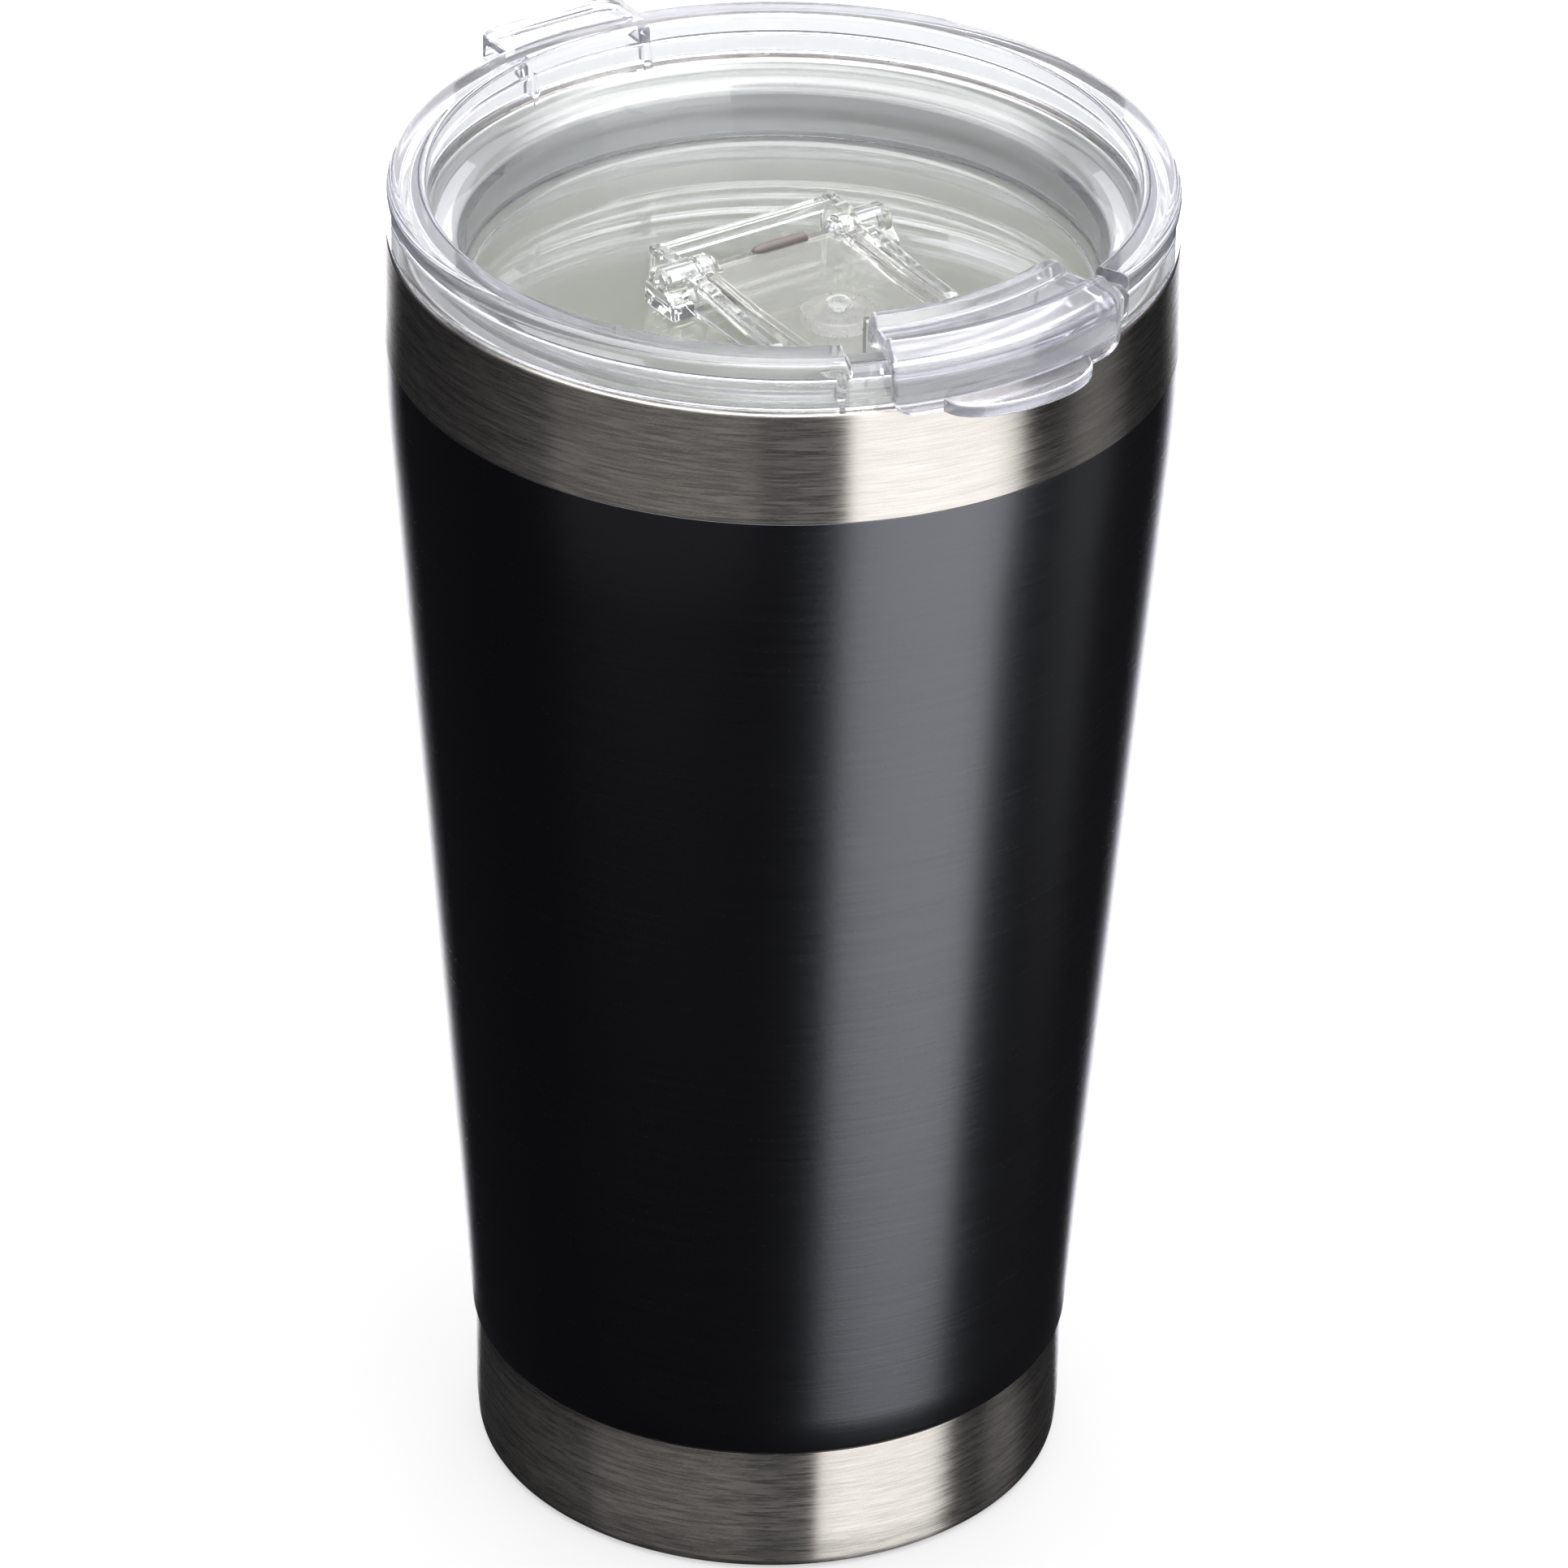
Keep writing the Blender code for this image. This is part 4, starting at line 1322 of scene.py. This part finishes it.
def build_cup():
    shell = brushed_steel("shell_steel", STEEL_COLOUR, STEEL_ROUGHNESS)
    place_piece(make_shell(), shell, "cup", "outer_shell")
    place_piece(make_coating(), black_coat(), "cup", "black_coating")
    # The liner's steel is painted far lighter than the shell's, with a green-yellow cast: painted light for
    # the inside, which is lit brightly through the lid.
    liner = satin_steel("liner_steel", (0.92, 0.925, 0.87), 0.4)
    place_piece(make_liner(), liner, "cup", "inner_liner")
    base = brushed_steel("base_steel", STEEL_COLOUR, STEEL_ROUGHNESS, 1.2)
    place_piece(make_base(), base, "cup", "base_cup")
    dress_node("bottom_plate", satin_steel("plate_steel", (0.5, 0.5, 0.5), 0.4))
    dress_node("vacuum_seal", sintered("solder_glass", (0.25, 0.24, 0.2), 0.25, 0.0))
    dress_node("getter_pellet", sintered("getter_metal", (0.2, 0.2, 0.21), 0.6, 0.5))


def build_lid():
    clear = clear_plastic("clear_lid", (0.97, 0.975, 0.975))
    place_piece(make_lid(), clear, "lid", "lid_body")
    ring = soft_silicone("gasket_silicone", (0.86, 0.87, 0.86), 0.35, 0.75)
    place_piece(make_gasket(), ring, "lid", "lid_gasket")
    hinge = clear_plastic("clear_hinge", (0.94, 0.945, 0.94), 0.02, (0.68, 0.69, 0.66), 60.0, 0.985)
    place_piece(make_hinge_frame(), hinge, "lid", "hinge_frame")
    pins = clear_plastic("clear_pins", (0.96, 0.965, 0.96), 0.03)
    for side, label in SIDES:
        place_piece(make_pin(side, label), pins, "lid", f"hinge_pin_{label}")


def build_flap():
    plate = clear_plastic("clear_arm", (0.965, 0.965, 0.95), 0.04, (0.72, 0.72, 0.66), 60.0)
    place_piece(make_arm(), plate, "flap", "flap_arm")
    slug = make_gate_slug()
    slug.data.materials.append(milky_plastic("gate_mark", (0.08, 0.066, 0.058), 0.4, 0.0))
    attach(slug, "flap")
    clip = milky_plastic("milky_clip", (0.70, 0.70, 0.735), 0.1, 0.93)
    place_piece(make_clip(), clip, "flap", "flap_clip")
    silicone = soft_silicone("white_silicone", (0.92, 0.925, 0.91), 0.3, 0.96)
    place_piece(make_drink_seal(), silicone, "flap", "drink_seal")
    place_piece(make_vent_plug(), silicone, "flap", "vent_plug")


bpy.context.scene.view_settings.view_transform = "Standard"
bpy.context.scene.cycles.glossy_bounces = 20  # light turns many corners inside the clear mouldings
bpy.context.scene.cycles.transmission_bounces = 20
bpy.context.scene.cycles.max_bounces = 26
add_camera()
add_studio()
build_cup()
build_lid()
build_flap()
